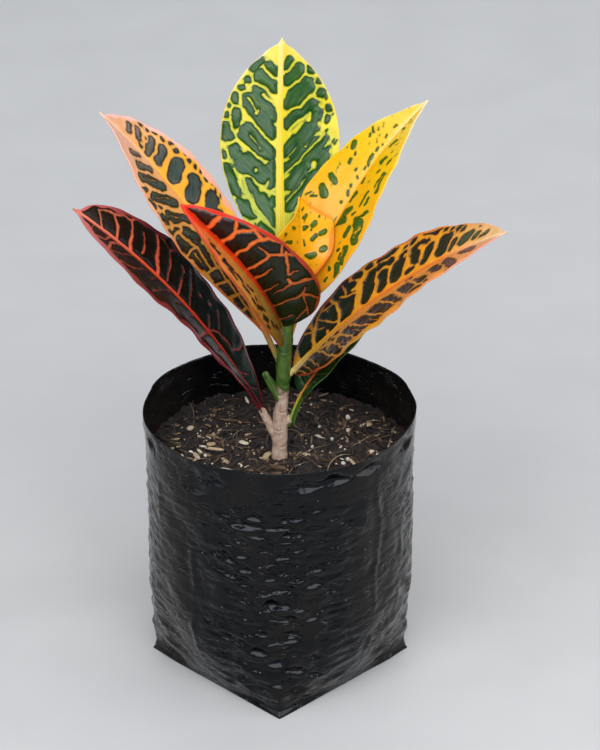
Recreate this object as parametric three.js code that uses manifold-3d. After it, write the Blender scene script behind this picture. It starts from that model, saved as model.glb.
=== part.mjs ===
// A young potted croton in a black polythene nursery bag.
// Millimetres, +Z up. The origin is the centre of the bag's underside and the front is -Y.

import * as THREE from "three";
import { mergeVertices } from "three/addons/utils/BufferGeometryUtils.js";
import Module from "manifold-3d";

const wasm = await Module();
wasm.setup();

// ---------------------------------------------------------------- driving dimensions

const CLEARANCE = 0.3;

const BAG = {
  height: 156,
  wall: 1.2,
  // How far up the bag each row stands, its radius at the corners, and its roundness:
  // 1 is a square standing on its corner, 2 is a circle.
  rows: [
    { z: 0, radius: 74, roundness: 1.0 },
    { z: 4, radius: 73.2, roundness: 1.06 },
    { z: 11, radius: 71.6, roundness: 1.22 },
    { z: 20, radius: 71.2, roundness: 1.42 },
    { z: 32, radius: 71.6, roundness: 1.66 },
    { z: 46, radius: 72.2, roundness: 1.84 },
    { z: 64, radius: 72.4, roundness: 1.95 },
    { z: 90, radius: 72.8, roundness: 2.0 },
    { z: 118, radius: 73.4, roundness: 2.0 },
    { z: 142, radius: 74.4, roundness: 2.0 },
    { z: 156, radius: 75, roundness: 2.0 },
  ],
  sides: 48,
};

const SOIL = {
  surface: 128,
  lumpHeight: 2.4,
  rings: 14,
  holeDepth: 29,
};

// Pieces of bark pressed into the bed, laid out as seeds are in a sunflower, each a turn of the
// golden angle on from the last. Lengths, widths and heights run from the first to the second.
const BARK = {
  count: 56,
  reach: 62,
  goldenAngle: 2.39996,
  length: [5, 12],
  width: [2.2, 4.2],
  height: [1.3, 2.4],
  clearOfStem: 10,
  sides: 5,
};

// The stem's centreline with its radius, from the root in the soil to the growing tip.
const STEM = [
  { at: [-0.1, -4.0, 99], radius: 3.8 },
  { at: [-0.1, -4.0, 131], radius: 3.9 },
  { at: [0.2, -3.8, 143], radius: 4.1 },
  { at: [0.4, -3.5, 154], radius: 3.9 },
  { at: [1.6, -3.1, 162], radius: 3.0 },
  { at: [1.7, -2.9, 170], radius: 3.7 },
  { at: [2.3, -2.3, 182], radius: 4.1 },
  { at: [3.2, -1.6, 197], radius: 4.0 },
  { at: [4.2, -1.1, 210], radius: 3.4 },
  { at: [4.8, -1.0, 215], radius: 2.0 },
];
const STEM_SIDES = 20;

// Short woody or green stubs that stand off the stem: start, end and the two radii.
const STUBS = [
  { from: [-1.6, -3.7, 139], to: [-10.2, -2.7, 156.5], radii: [2.6, 2.0] },
  { from: [1.5, -3.7, 148], to: [6.4, -4.8, 151.6], radii: [2.8, 2.4] },
  { from: [1.0, -3.3, 161], to: [-8.4, -0.7, 178], radii: [2.7, 1.9] },
];
const STUB_SIDES = 10;

// One entry for each leaf. attach is the height on the stem, azimuth, rise and roll go from the
// petiole's base to the leaf's tip in degrees, fold is how far each half lifts from the midrib
// (left, right), widest is where along the blade it is broadest, and taper sharpens both ends.
const LEAVES = [
  { name: "leaf_back", attach: 207, azimuth: [95, 87], rise: [43, 68], roll: [-2, -7],
    petiole: 30, blade: 128.5, width: 67, fold: [13, 18], widest: 0.57, taper: 1.75,
    colour: "#3f7a2e" },
  { name: "leaf_back_right", attach: 199.5, azimuth: [48, 25], rise: [65, 38], roll: [15, -2],
    petiole: 20.5, blade: 129, width: 49.5, fold: [28, 17], widest: 0.43, taper: 1.5,
    colour: "#e9b91b" },
  { name: "leaf_small_inner", attach: 209.5, azimuth: [32, 145], rise: [67, 88], roll: [-4, 10],
    petiole: 18.5, blade: 51, width: 38, fold: [23, 12], widest: 0.64, taper: 1.5,
    colour: "#eaa21a" },
  { name: "leaf_upper_left", attach: 184.5, azimuth: [141, 178], rise: [59, 45], roll: [-56, 7],
    petiole: 12, blade: 157, width: 52.5, fold: [9, 11], widest: 0.7, taper: 1.7,
    colour: "#c9762f" },
  { name: "leaf_front_centre", attach: 205.5, azimuth: [218, 159], rise: [70, 38],
    roll: [-78, -34], petiole: 1.5, blade: 95, width: 59, fold: [62, 62], widest: 0.27,
    taper: 1.1, colour: "#b4361d" },
  { name: "leaf_lower_left", attach: 142, azimuth: [169, 191], rise: [64, 40], roll: [12, -27],
    petiole: 13.5, blade: 161, width: 61, fold: [18, 15], widest: 0.49, taper: 1.2,
    colour: "#7c1f22" },
  { name: "leaf_right", attach: 178, azimuth: [-8, -45], rise: [52, 31], roll: [19, 23],
    petiole: 3, blade: 170, width: 65, fold: [8, 8], widest: 0.42, taper: 1.4,
    colour: "#c46a1e" },
  { name: "leaf_lower_right", attach: 151, standOff: 7, azimuth: [-13, 66], rise: [78, 8],
    roll: [23, 13], petiole: 17, blade: 66, width: 22.5, fold: [39, 38], widest: 0.3,
    taper: 0.8, colour: "#2c4a1d" },
];

const LEAF = {
  edgeHalfThickness: 0.35,
  petioleRadius: 1.6,
  tipRibRadius: 0.55,
  rootInset: 4.5,
  margin: { waves: 3, height: 0.8 },
  petioleRows: 4,
  bladeRows: 17,
  pathSteps: 10,
  // How far from the midrib to the margin the columns stand, on the blade and on the petiole.
  bladeColumns: [0, 0.12, 0.42, 0.74, 1],
  petioleColumns: [0, 0.38, 0.7, 0.92, 1],
};

// ---------------------------------------------------------------- small helpers

const clamp = (value, low, high) => Math.min(high, Math.max(low, value));
const mix = (a, b, t) => a + (b - a) * t;
const radians = THREE.MathUtils.degToRad;

function between(table, key, x, value) {
  // Straight-line reading of a table sorted by its key.
  const last = table.length - 1;
  if (x <= key(table[0])) return value(table[0]);
  for (let i = 1; i <= last; i += 1) {
    const low = table[i - 1];
    const high = table[i];
    if (x <= key(high)) {
      return mix(value(low), value(high), (x - key(low)) / (key(high) - key(low)));
    }
  }
  return value(table[last]);
}

const stemAxis = (z, axis) => between(STEM, (row) => row.at[2], z, (row) => row.at[axis]);
const stemRadius = (z) => between(STEM, (row) => row.at[2], z, (row) => row.radius);

function closedGeometry(points, faces) {
  const geometry = new THREE.BufferGeometry();
  const position = new Float32Array(points.flatMap((p) => [p.x, p.y, p.z]));
  geometry.setAttribute("position", new THREE.BufferAttribute(position, 3));
  geometry.setIndex(faces.flat());
  geometry.computeVertexNormals();
  return geometry;
}

function toSolid(geometry) {
  const bare = geometry.clone();
  bare.deleteAttribute("normal");
  bare.deleteAttribute("uv");
  const merged = mergeVertices(bare, 1e-4);
  const mesh = new wasm.Mesh({
    numProp: 3,
    vertProperties: new Float32Array(merged.attributes.position.array),
    triVerts: new Uint32Array(merged.index.array),
  });
  return new wasm.Manifold(mesh);
}

function fromSolid(solid) {
  const mesh = solid.getMesh();
  const geometry = new THREE.BufferGeometry();
  geometry.setAttribute("position", new THREE.BufferAttribute(mesh.vertProperties, 3));
  geometry.setIndex(new THREE.BufferAttribute(mesh.triVerts, 1));
  geometry.computeVertexNormals();
  return geometry;
}

function stackRings(rings) {
  // Joins rings of equal count, bottom ring first and anticlockwise seen from above or from the
  // end, and closes both ends with a fan round a middle point.
  const count = rings[0].length;
  const points = rings.flat();
  const faces = [];
  for (let i = 0; i < rings.length - 1; i += 1) {
    for (let j = 0; j < count; j += 1) {
      const a = i * count + j;
      const b = i * count + ((j + 1) % count);
      faces.push([a, b, b + count], [a, b + count, a + count]);
    }
  }
  const ends = [rings[0], rings[rings.length - 1]];
  ends.forEach((ring, end) => {
    const middle = new THREE.Vector3();
    ring.forEach((p) => middle.addScaledVector(p, 1 / count));
    points.push(middle);
    const centre = points.length - 1;
    const first = end === 0 ? 0 : (rings.length - 1) * count;
    for (let j = 0; j < count; j += 1) {
      const a = first + j;
      const b = first + ((j + 1) % count);
      faces.push(end === 0 ? [centre, b, a] : [centre, a, b]);
    }
  });
  return closedGeometry(points, faces);
}

function tube(path, radii, sides) {
  // A tapering round rod along a list of points.
  const rings = path.map((point, i) => {
    const before = path[Math.max(0, i - 1)];
    const after = path[Math.min(path.length - 1, i + 1)];
    const along = after.clone().sub(before).normalize();
    const side = new THREE.Vector3(0, 1, 0).cross(along).normalize();
    const across = along.clone().cross(side);
    return Array.from({ length: sides }, (_, j) => {
      const angle = (2 * Math.PI * j) / sides;
      return point.clone()
        .addScaledVector(side, radii[i] * Math.cos(angle))
        .addScaledVector(across, radii[i] * Math.sin(angle));
    });
  });
  return stackRings(rings);
}

// ---------------------------------------------------------------- bag

function bagRadius(row, angle) {
  // A circle squared towards the base: |cos|^n + |sin|^n = 1 with n the roundness.
  const n = row.roundness;
  const sum = Math.abs(Math.cos(angle)) ** n + Math.abs(Math.sin(angle)) ** n;
  return row.radius / sum ** (1 / n);
}

function bagRing(row, inset, z) {
  return Array.from({ length: BAG.sides }, (_, j) => {
    const angle = (2 * Math.PI * j) / BAG.sides;
    const radius = bagRadius(row, angle) - inset;
    return new THREE.Vector3(radius * Math.cos(angle), radius * Math.sin(angle), z);
  });
}

function bagRowAt(z) {
  const key = (row) => row.z;
  return {
    radius: between(BAG.rows, key, z, (row) => row.radius),
    roundness: between(BAG.rows, key, z, (row) => row.roundness),
  };
}

function innerRings(inset, floor, top) {
  // The bag's own rows from the floor up, so that what fills it follows its wall exactly.
  const middle = BAG.rows.filter((row) => row.z > floor + 1 && row.z < top - 1);
  const first = bagRing(BAG.rows[1], inset, floor);
  const rest = middle.map((row) => bagRing(row, inset, row.z));
  const last = bagRing(bagRowAt(top), inset, top);
  return [first, ...rest, last];
}

function bagGeometry() {
  const outside = BAG.rows.map((row) => bagRing(row, 0, row.z));
  const inside = innerRings(BAG.wall, BAG.wall, BAG.height + 1);
  return fromSolid(toSolid(stackRings(outside)).subtract(toSolid(stackRings(inside))));
}

// ---------------------------------------------------------------- soil

function soilHeight(x, y) {
  // Lumps from a few crossed waves of different length, in a level bed.
  const coarse = Math.sin(x * 0.16 + 1.3) * Math.cos(y * 0.19 - 0.4);
  const middle = Math.sin(x * 0.31 - y * 0.27 + 0.8) * Math.cos(x * 0.22 + y * 0.35);
  const small = Math.sin(x * 0.43 + y * 0.17 + 2.1) * Math.cos(y * 0.46 - x * 0.12);
  return SOIL.surface + SOIL.lumpHeight * (0.4 * coarse + 0.3 * middle + 0.3 * small);
}

function barkPiece(k) {
  // One piece: a flattened five-sided rod, pointed at both ends and sunk to its middle.
  const draw = ([low, high], turns) => mix(low, high, (k * turns) % 1);
  const radius = BARK.reach * Math.sqrt((k + 0.5) / BARK.count);
  const angle = k * BARK.goldenAngle;
  const [x, y] = [radius * Math.cos(angle), radius * Math.sin(angle)];
  if (Math.hypot(x - STEM[0].at[0], y - STEM[0].at[1]) < BARK.clearOfStem) return null;
  const half = draw(BARK.length, 0.618) / 2;
  const width = draw(BARK.width, 0.414) / 2;
  const height = draw(BARK.height, 0.732);
  const heading = k * 1.9;
  const along = new THREE.Vector3(Math.cos(heading), Math.sin(heading), 0);
  const side = new THREE.Vector3(-along.y, along.x, 0);
  const rings = [[-1, 0.35], [-0.5, 1], [0.4, 0.9], [1, 0.3]].map(([share, girth]) => {
    const middle = new THREE.Vector3(x, y, soilHeight(x, y)).addScaledVector(along, share * half);
    return Array.from({ length: BARK.sides }, (_, j) => {
      const turn = (2 * Math.PI * j) / BARK.sides;
      return middle.clone()
        .addScaledVector(side, width * girth * Math.cos(turn))
        .add(new THREE.Vector3(0, 0, height * girth * Math.sin(turn)));
    });
  });
  return stackRings(rings);
}

function soilGeometry() {
  const sides = innerRings(BAG.wall + CLEARANCE, BAG.wall + CLEARANCE, SOIL.surface);
  const edge = sides.pop();
  const top = [];
  for (let k = SOIL.rings; k >= 1; k -= 1) {
    const share = k / SOIL.rings;
    top.push(edge.map((p) => {
      const x = p.x * share;
      const y = p.y * share;
      return new THREE.Vector3(x, y, soilHeight(x, y));
    }));
  }
  let bed = toSolid(stackRings([...sides, ...top]));
  for (let k = 0; k < BARK.count; k += 1) {
    const piece = barkPiece(k);
    if (piece) bed = bed.add(toSolid(piece));
  }
  const [x, y] = STEM[0].at;
  const hole = [SOIL.surface - SOIL.holeDepth - CLEARANCE, SOIL.surface + 10];
  const path = hole.map((z) => new THREE.Vector3(x, y, z));
  const radius = STEM[0].radius + CLEARANCE;
  return fromSolid(bed.subtract(toSolid(tube(path, [radius, radius], STEM_SIDES))));
}

// ---------------------------------------------------------------- stem

function stemSolid(extra) {
  // The stem with its stubs, grown outwards by extra on every side.
  const path = STEM.map((row) => new THREE.Vector3(...row.at));
  path[path.length - 1].z += extra;
  let solid = toSolid(tube(path, STEM.map((row) => row.radius + extra), STEM_SIDES));
  for (const stub of STUBS) {
    const from = new THREE.Vector3(...stub.from);
    const to = new THREE.Vector3(...stub.to);
    const along = to.clone().sub(from).normalize();
    const rod = tube([from, to.addScaledVector(along, extra)],
      stub.radii.map((radius) => radius + extra), STUB_SIDES);
    solid = solid.add(toSolid(rod));
  }
  return solid;
}

// ---------------------------------------------------------------- leaves

function leafFrame(leaf, s) {
  // Directions at the share s of the leaf's whole length: along it, to its left and out of its
  // upper face.
  const t = clamp(s, 0, 1);
  const azimuth = radians(mix(leaf.azimuth[0], leaf.azimuth[1], t));
  const rise = radians(mix(leaf.rise[0], leaf.rise[1], t));
  const roll = radians(mix(leaf.roll[0], leaf.roll[1], t));
  const flat = Math.cos(rise);
  const along = new THREE.Vector3(flat * Math.cos(azimuth), flat * Math.sin(azimuth),
    Math.sin(rise));
  const level = new THREE.Vector3(-Math.sin(azimuth), Math.cos(azimuth), 0);
  const upright = along.clone().cross(level);
  const left = level.clone().multiplyScalar(Math.cos(roll))
    .addScaledVector(upright, Math.sin(roll));
  const up = along.clone().cross(left);
  return { along, left, up };
}

function leafHalfWidth(leaf, u) {
  // Egg-shaped outline with a short drawn-out tip; u runs from 0 at the blade's base to 1.
  const v = u / 0.975;
  const low = leaf.widest * leaf.taper;
  const high = (1 - leaf.widest) * leaf.taper;
  const inside = v > 0 && v < 1;
  const body = inside
    ? (v / leaf.widest) ** low * ((1 - v) / (1 - leaf.widest)) ** high : 0;
  const cusp = 0.14 * clamp((1 - u) / 0.05, 0, 1) ** 1.1 * clamp(u / 0.3, 0, 1);
  const half = Math.cbrt(body ** 3 + cusp ** 3) * leaf.width / 2;
  if (u < 0.5) return Math.max(half, LEAF.petioleRadius);
  return clamp(half, 0.4, 0.4 + (1 - u) * leaf.blade * 1.1);
}

function leafRows(leaf) {
  // Shares of the whole length at which the leaf has a row of points, the first one in the stem.
  const total = leaf.petiole + leaf.blade;
  const rows = [-LEAF.rootInset / total];
  for (let k = 0; k < LEAF.petioleRows; k += 1) {
    rows.push((leaf.petiole * k) / LEAF.petioleRows / total);
  }
  for (let k = 0; k <= LEAF.bladeRows; k += 1) {
    const even = k / LEAF.bladeRows;
    const eased = 0.5 - 0.5 * Math.cos(Math.PI * even);
    rows.push((leaf.petiole + leaf.blade * mix(even, eased, 0.5)) / total);
  }
  return rows;
}

function leafStart(leaf) {
  const z = leaf.attach;
  const azimuth = radians(leaf.azimuth[0]);
  const out = leaf.standOff ?? 0.9 * stemRadius(z);
  return new THREE.Vector3(stemAxis(z, 0) + out * Math.cos(azimuth),
    stemAxis(z, 1) + out * Math.sin(azimuth), z);
}

function leafSection(leaf, s, centre) {
  // One row of points across the leaf: its upper face and its underside, from left to right.
  const { left, up } = leafFrame(leaf, s);
  const total = leaf.petiole + leaf.blade;
  const u = clamp((s * total - leaf.petiole) / leaf.blade, 0, 1);
  const half = leafHalfWidth(leaf, u);
  const rib = mix(LEAF.petioleRadius, LEAF.tipRibRadius, u);
  const stalk = clamp((rib / half - 0.12) / 0.6, 0, 1);
  const upper = [];
  const under = [];
  for (let j = -4; j <= 4; j += 1) {
    const share = mix(LEAF.bladeColumns[Math.abs(j)], LEAF.petioleColumns[Math.abs(j)], stalk);
    const side = j < 0 ? 1 : -1;
    const fold = radians(leaf.fold[j < 0 ? 0 : 1]);
    const lift = fold * (1 - 0.3 * share) * (1 - stalk);
    const tilt = fold * (1 - 0.6 * share) * (1 - stalk);
    const phase = side * 0.9 + leaf.attach;
    const wave = LEAF.margin.height * share ** 2 * Math.sin(Math.PI * u)
      * Math.sin(2 * Math.PI * LEAF.margin.waves * u + phase);
    const out = half * share;
    const point = centre.clone()
      .addScaledVector(left, side * out * Math.cos(lift))
      .addScaledVector(up, out * Math.sin(lift) + wave);
    const normal = up.clone().multiplyScalar(Math.cos(tilt))
      .addScaledVector(left, (j === 0 ? 0 : -side) * Math.sin(tilt));
    const swell = (rib - LEAF.edgeHalfThickness) * Math.sqrt(Math.max(0, 1 - (out / rib) ** 2));
    const edge = LEAF.edgeHalfThickness;
    upper.push(point.clone().addScaledVector(normal, edge + swell * mix(0.2, 1, stalk)));
    under.push(point.clone().addScaledVector(normal, -edge - swell));
  }
  return { upper, under };
}

function leafGeometry(leaf) {
  const total = leaf.petiole + leaf.blade;
  const rows = leafRows(leaf);
  const centre = leafStart(leaf).addScaledVector(leafFrame(leaf, 0).along, rows[0] * total);
  const sections = [leafSection(leaf, rows[0], centre)];
  for (let i = 1; i < rows.length; i += 1) {
    const step = (rows[i] - rows[i - 1]) / LEAF.pathSteps;
    for (let k = 0; k < LEAF.pathSteps; k += 1) {
      const { along } = leafFrame(leaf, rows[i - 1] + (k + 0.5) * step);
      centre.addScaledVector(along, step * total);
    }
    sections.push(leafSection(leaf, rows[i], centre));
  }
  const across = sections[0].upper.length;
  const points = sections.flatMap((row) => [...row.upper, ...row.under]);
  const upper = (i, j) => i * 2 * across + j;
  const under = (i, j) => upper(i, j) + across;
  const faces = [];
  const last = sections.length - 1;
  const right = across - 1;
  for (let i = 0; i < last; i += 1) {
    for (let j = 0; j < right; j += 1) {
      // Both faces are split along the same diagonal, so they never cross where the blade waves.
      faces.push([upper(i, j), upper(i, j + 1), upper(i + 1, j + 1)]);
      faces.push([upper(i, j), upper(i + 1, j + 1), upper(i + 1, j)]);
      faces.push([under(i, j), under(i + 1, j + 1), under(i, j + 1)]);
      faces.push([under(i, j), under(i + 1, j), under(i + 1, j + 1)]);
    }
    faces.push([upper(i, 0), upper(i + 1, 0), under(i + 1, 0)]);
    faces.push([upper(i, 0), under(i + 1, 0), under(i, 0)]);
    faces.push([upper(i, right), under(i + 1, right), upper(i + 1, right)]);
    faces.push([upper(i, right), under(i, right), under(i + 1, right)]);
  }
  for (let j = 0; j < right; j += 1) {
    faces.push([upper(0, j), under(0, j + 1), upper(0, j + 1)]);
    faces.push([upper(0, j), under(0, j), under(0, j + 1)]);
    faces.push([upper(last, j), upper(last, j + 1), under(last, j + 1)]);
    faces.push([upper(last, j), under(last, j + 1), under(last, j)]);
  }
  return closedGeometry(points, faces);
}

// ---------------------------------------------------------------- the plant in its bag

const group = new THREE.Group();

function place(name, geometry, colour, roughness) {
  const material = new THREE.MeshStandardMaterial({ color: colour, roughness, metalness: 0 });
  const mesh = new THREE.Mesh(geometry, material);
  mesh.name = name;
  group.add(mesh);
}

place("bag", bagGeometry(), "#15171b", 0.32);
place("soil", soilGeometry(), "#2b211c", 0.95);
place("stem", fromSolid(stemSolid(0)), "#8d7a63", 0.7);

const stemRoom = stemSolid(CLEARANCE);
for (const leaf of LEAVES) {
  const blade = toSolid(leafGeometry(leaf)).subtract(stemRoom);
  place(leaf.name, fromSolid(blade), leaf.colour, 0.35);
}

export default group;
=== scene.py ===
"""A young potted croton in a black polythene nursery bag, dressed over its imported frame.

Lengths in the tables are millimetres and become metres when a mesh is made. +Z is up, the origin
is the centre of the bag's underside and the front is -Y.
"""

import math

import bpy
import numpy as np
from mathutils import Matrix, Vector
from bpy.props import (CollectionProperty, FloatProperty, FloatVectorProperty, IntProperty,
                       PointerProperty)


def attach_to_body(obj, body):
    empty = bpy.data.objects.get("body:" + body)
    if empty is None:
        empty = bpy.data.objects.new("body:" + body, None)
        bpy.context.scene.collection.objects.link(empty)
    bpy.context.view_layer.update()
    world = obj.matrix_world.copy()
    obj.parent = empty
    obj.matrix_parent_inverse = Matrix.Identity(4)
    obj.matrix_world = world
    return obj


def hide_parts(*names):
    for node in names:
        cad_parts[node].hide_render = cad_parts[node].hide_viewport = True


bl_info = {
    "name": "Potted croton",
    "version": (1, 0, 0),
    "blender": (4, 5, 0),
    "location": "View3D > Sidebar > Croton",
    "description": "Builds a patterned croton in a filled nursery bag",
    "category": "Add Mesh",
}

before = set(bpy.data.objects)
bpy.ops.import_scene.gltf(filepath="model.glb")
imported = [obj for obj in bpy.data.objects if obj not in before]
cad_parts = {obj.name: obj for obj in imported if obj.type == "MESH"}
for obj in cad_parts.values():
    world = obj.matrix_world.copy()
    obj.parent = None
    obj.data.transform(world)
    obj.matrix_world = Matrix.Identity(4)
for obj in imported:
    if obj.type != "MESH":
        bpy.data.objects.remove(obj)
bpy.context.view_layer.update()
MM = 0.001


# ---------------------------------------------------------------- real sizes, in millimetres

# How far up the bag each row stands, its radius at the corners, and its roundness: 1 is a square
# standing on its corner, 2 is a circle.
BAG_ROWS = np.array([
    (0, 74, 1.0), (4, 73.2, 1.06), (11, 71.6, 1.22), (20, 71.2, 1.42), (32, 71.6, 1.66),
    (46, 72.2, 1.84), (64, 72.4, 1.95), (90, 72.8, 2.0), (118, 73.4, 2.0), (142, 74.4, 2.0),
    (156, 75, 2.0)])
BAG_HEIGHT = 156.0
# The wall's mean radius, which turns an angle into millimetres round the bag.
WALL_RADIUS = 73
# Flat folds that lean inwards under the rim: place round the bag in degrees, height, half width,
# height of the facet that looks up and how far the fold leans in.
RIM_FOLDS = [
    (-80, 146, 15, 3.8, 2.9), (-66, 147.5, 12, 3.6, 2.8), (-50, 149, 12, 3.6, 2.7),
    (-118, 145, 9, 2.8, 2.0), (-101, 122, 15, 3.2, 2.4), (-128, 137, 10, 3.2, 2.3),
    (-20, 147, 12, 3.4, 2.4), (35, 147, 12, 3.6, 2.6), (80, 148, 13, 3.8, 2.8),
    (112, 147, 10, 3.2, 2.3), (150, 147, 13, 3.6, 2.6), (-160, 147, 10, 3.2, 2.3)]
# Height at which the folds under the rim have run out.
RIM_FOLDS_END = 154
# Sharp upright lines where the gussets were pressed: place in degrees and height of the line.
UPRIGHT_FOLDS = [(-43, 0.8), (-131, 0.9), (49, 0.8), (138, 0.8),
                 (-24, 0.5), (-152, 0.5), (22, 0.5), (160, 0.5)]
# How far the film's folds may go in and out of its plain shell.
FILM_RELIEF = (-2.4, 1.8)
# Pressed creases too fine for the mesh: distance apart, lean in radians and depth.
FILM_CREASES = [(12, 0.1, 0.14), (19, -0.45, 0.2), (26, 0.35, 0.24)]
# Buckles in the film, as staggered rows of dents: row pitch, dent width, height of the facet
# that looks up, share of the full depth, and the levels where they grow in and die out.
BUCKLES = [(13.0, 27.0, 3.0, 1.6, (6, 12), (50, 70)),
           (9.6, 19.0, 2.0, 1.05, (40, 64), (126, 138))]
SOIL_SURFACE = 128.0
SOIL_LUMPS = 2.4
# Bark pressed into the bed: length, width and height run from the first to the second.
BARK = {"count": 56, "reach": 62, "golden_angle": 2.39996, "length": (5, 12),
        "width": (2.2, 4.2), "height": (1.3, 2.4), "clear_of_stem": 10}

# The stem's centreline with its radius: x, y, z, radius.
STEM = np.array([
    (-0.1, -4.0, 99, 3.8), (-0.1, -4.0, 131, 3.9), (0.2, -3.8, 143, 4.1), (0.4, -3.5, 154, 3.9),
    (1.6, -3.1, 162, 3.0), (1.7, -2.9, 170, 3.7), (2.3, -2.3, 182, 4.1), (3.2, -1.6, 197, 4.0),
    (4.2, -1.1, 210, 3.4), (4.8, -1.0, 215, 2.0),
])
# Stubs on the stem: start, end, the two radii and how woody the bark is.
STUBS = [
    ((-1.6, -3.7, 139), (-10.2, -2.7, 156.5), (2.6, 2.0), 0.85),
    ((1.5, -3.7, 148), (6.4, -4.8, 151.6), (2.8, 2.4), 0.95),
    ((1.0, -3.3, 161), (-8.4, -0.7, 178), (2.7, 1.9), 0.0),
]
# The stub that has a groove along it.
GROOVED_STUB = 2
# Scars where leaves have dropped: height on the stem and the side that they face in degrees.
SCARS = [(134, -60), (139, 40), (144, -110), (149, 120), (155, -70), (158, 60), (165, -130),
         (171, -40), (191, -95)]

PETIOLE_RADIUS = 1.6
TIP_RIB_RADIUS = 0.55
ROOT_INSET = 4.5
MARGIN_WAVES = 3
MARGIN_WAVE_HEIGHT = 0.8
RUFFLE_LENGTH = 17
RUFFLE_HEIGHT = 0.45
QUILT_SWELL = 0.42
# Spacing of the rows of a leaf's mesh along the blade and the petiole.
BLADE_SPACING = 0.62
PETIOLE_SPACING = 1.2
# Share of the blade at which the drawn-out tip takes over from the egg outline.
TIP_START = 0.975


def tapering(text):
    """Tapering strokes, parted by commas: two ends p q p q with one radius or one for each."""
    rows = [[float(word) for word in part.split()] for part in text.split(",") if part.strip()]
    return [(*row[:5], row[-1]) for row in rows]


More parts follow.
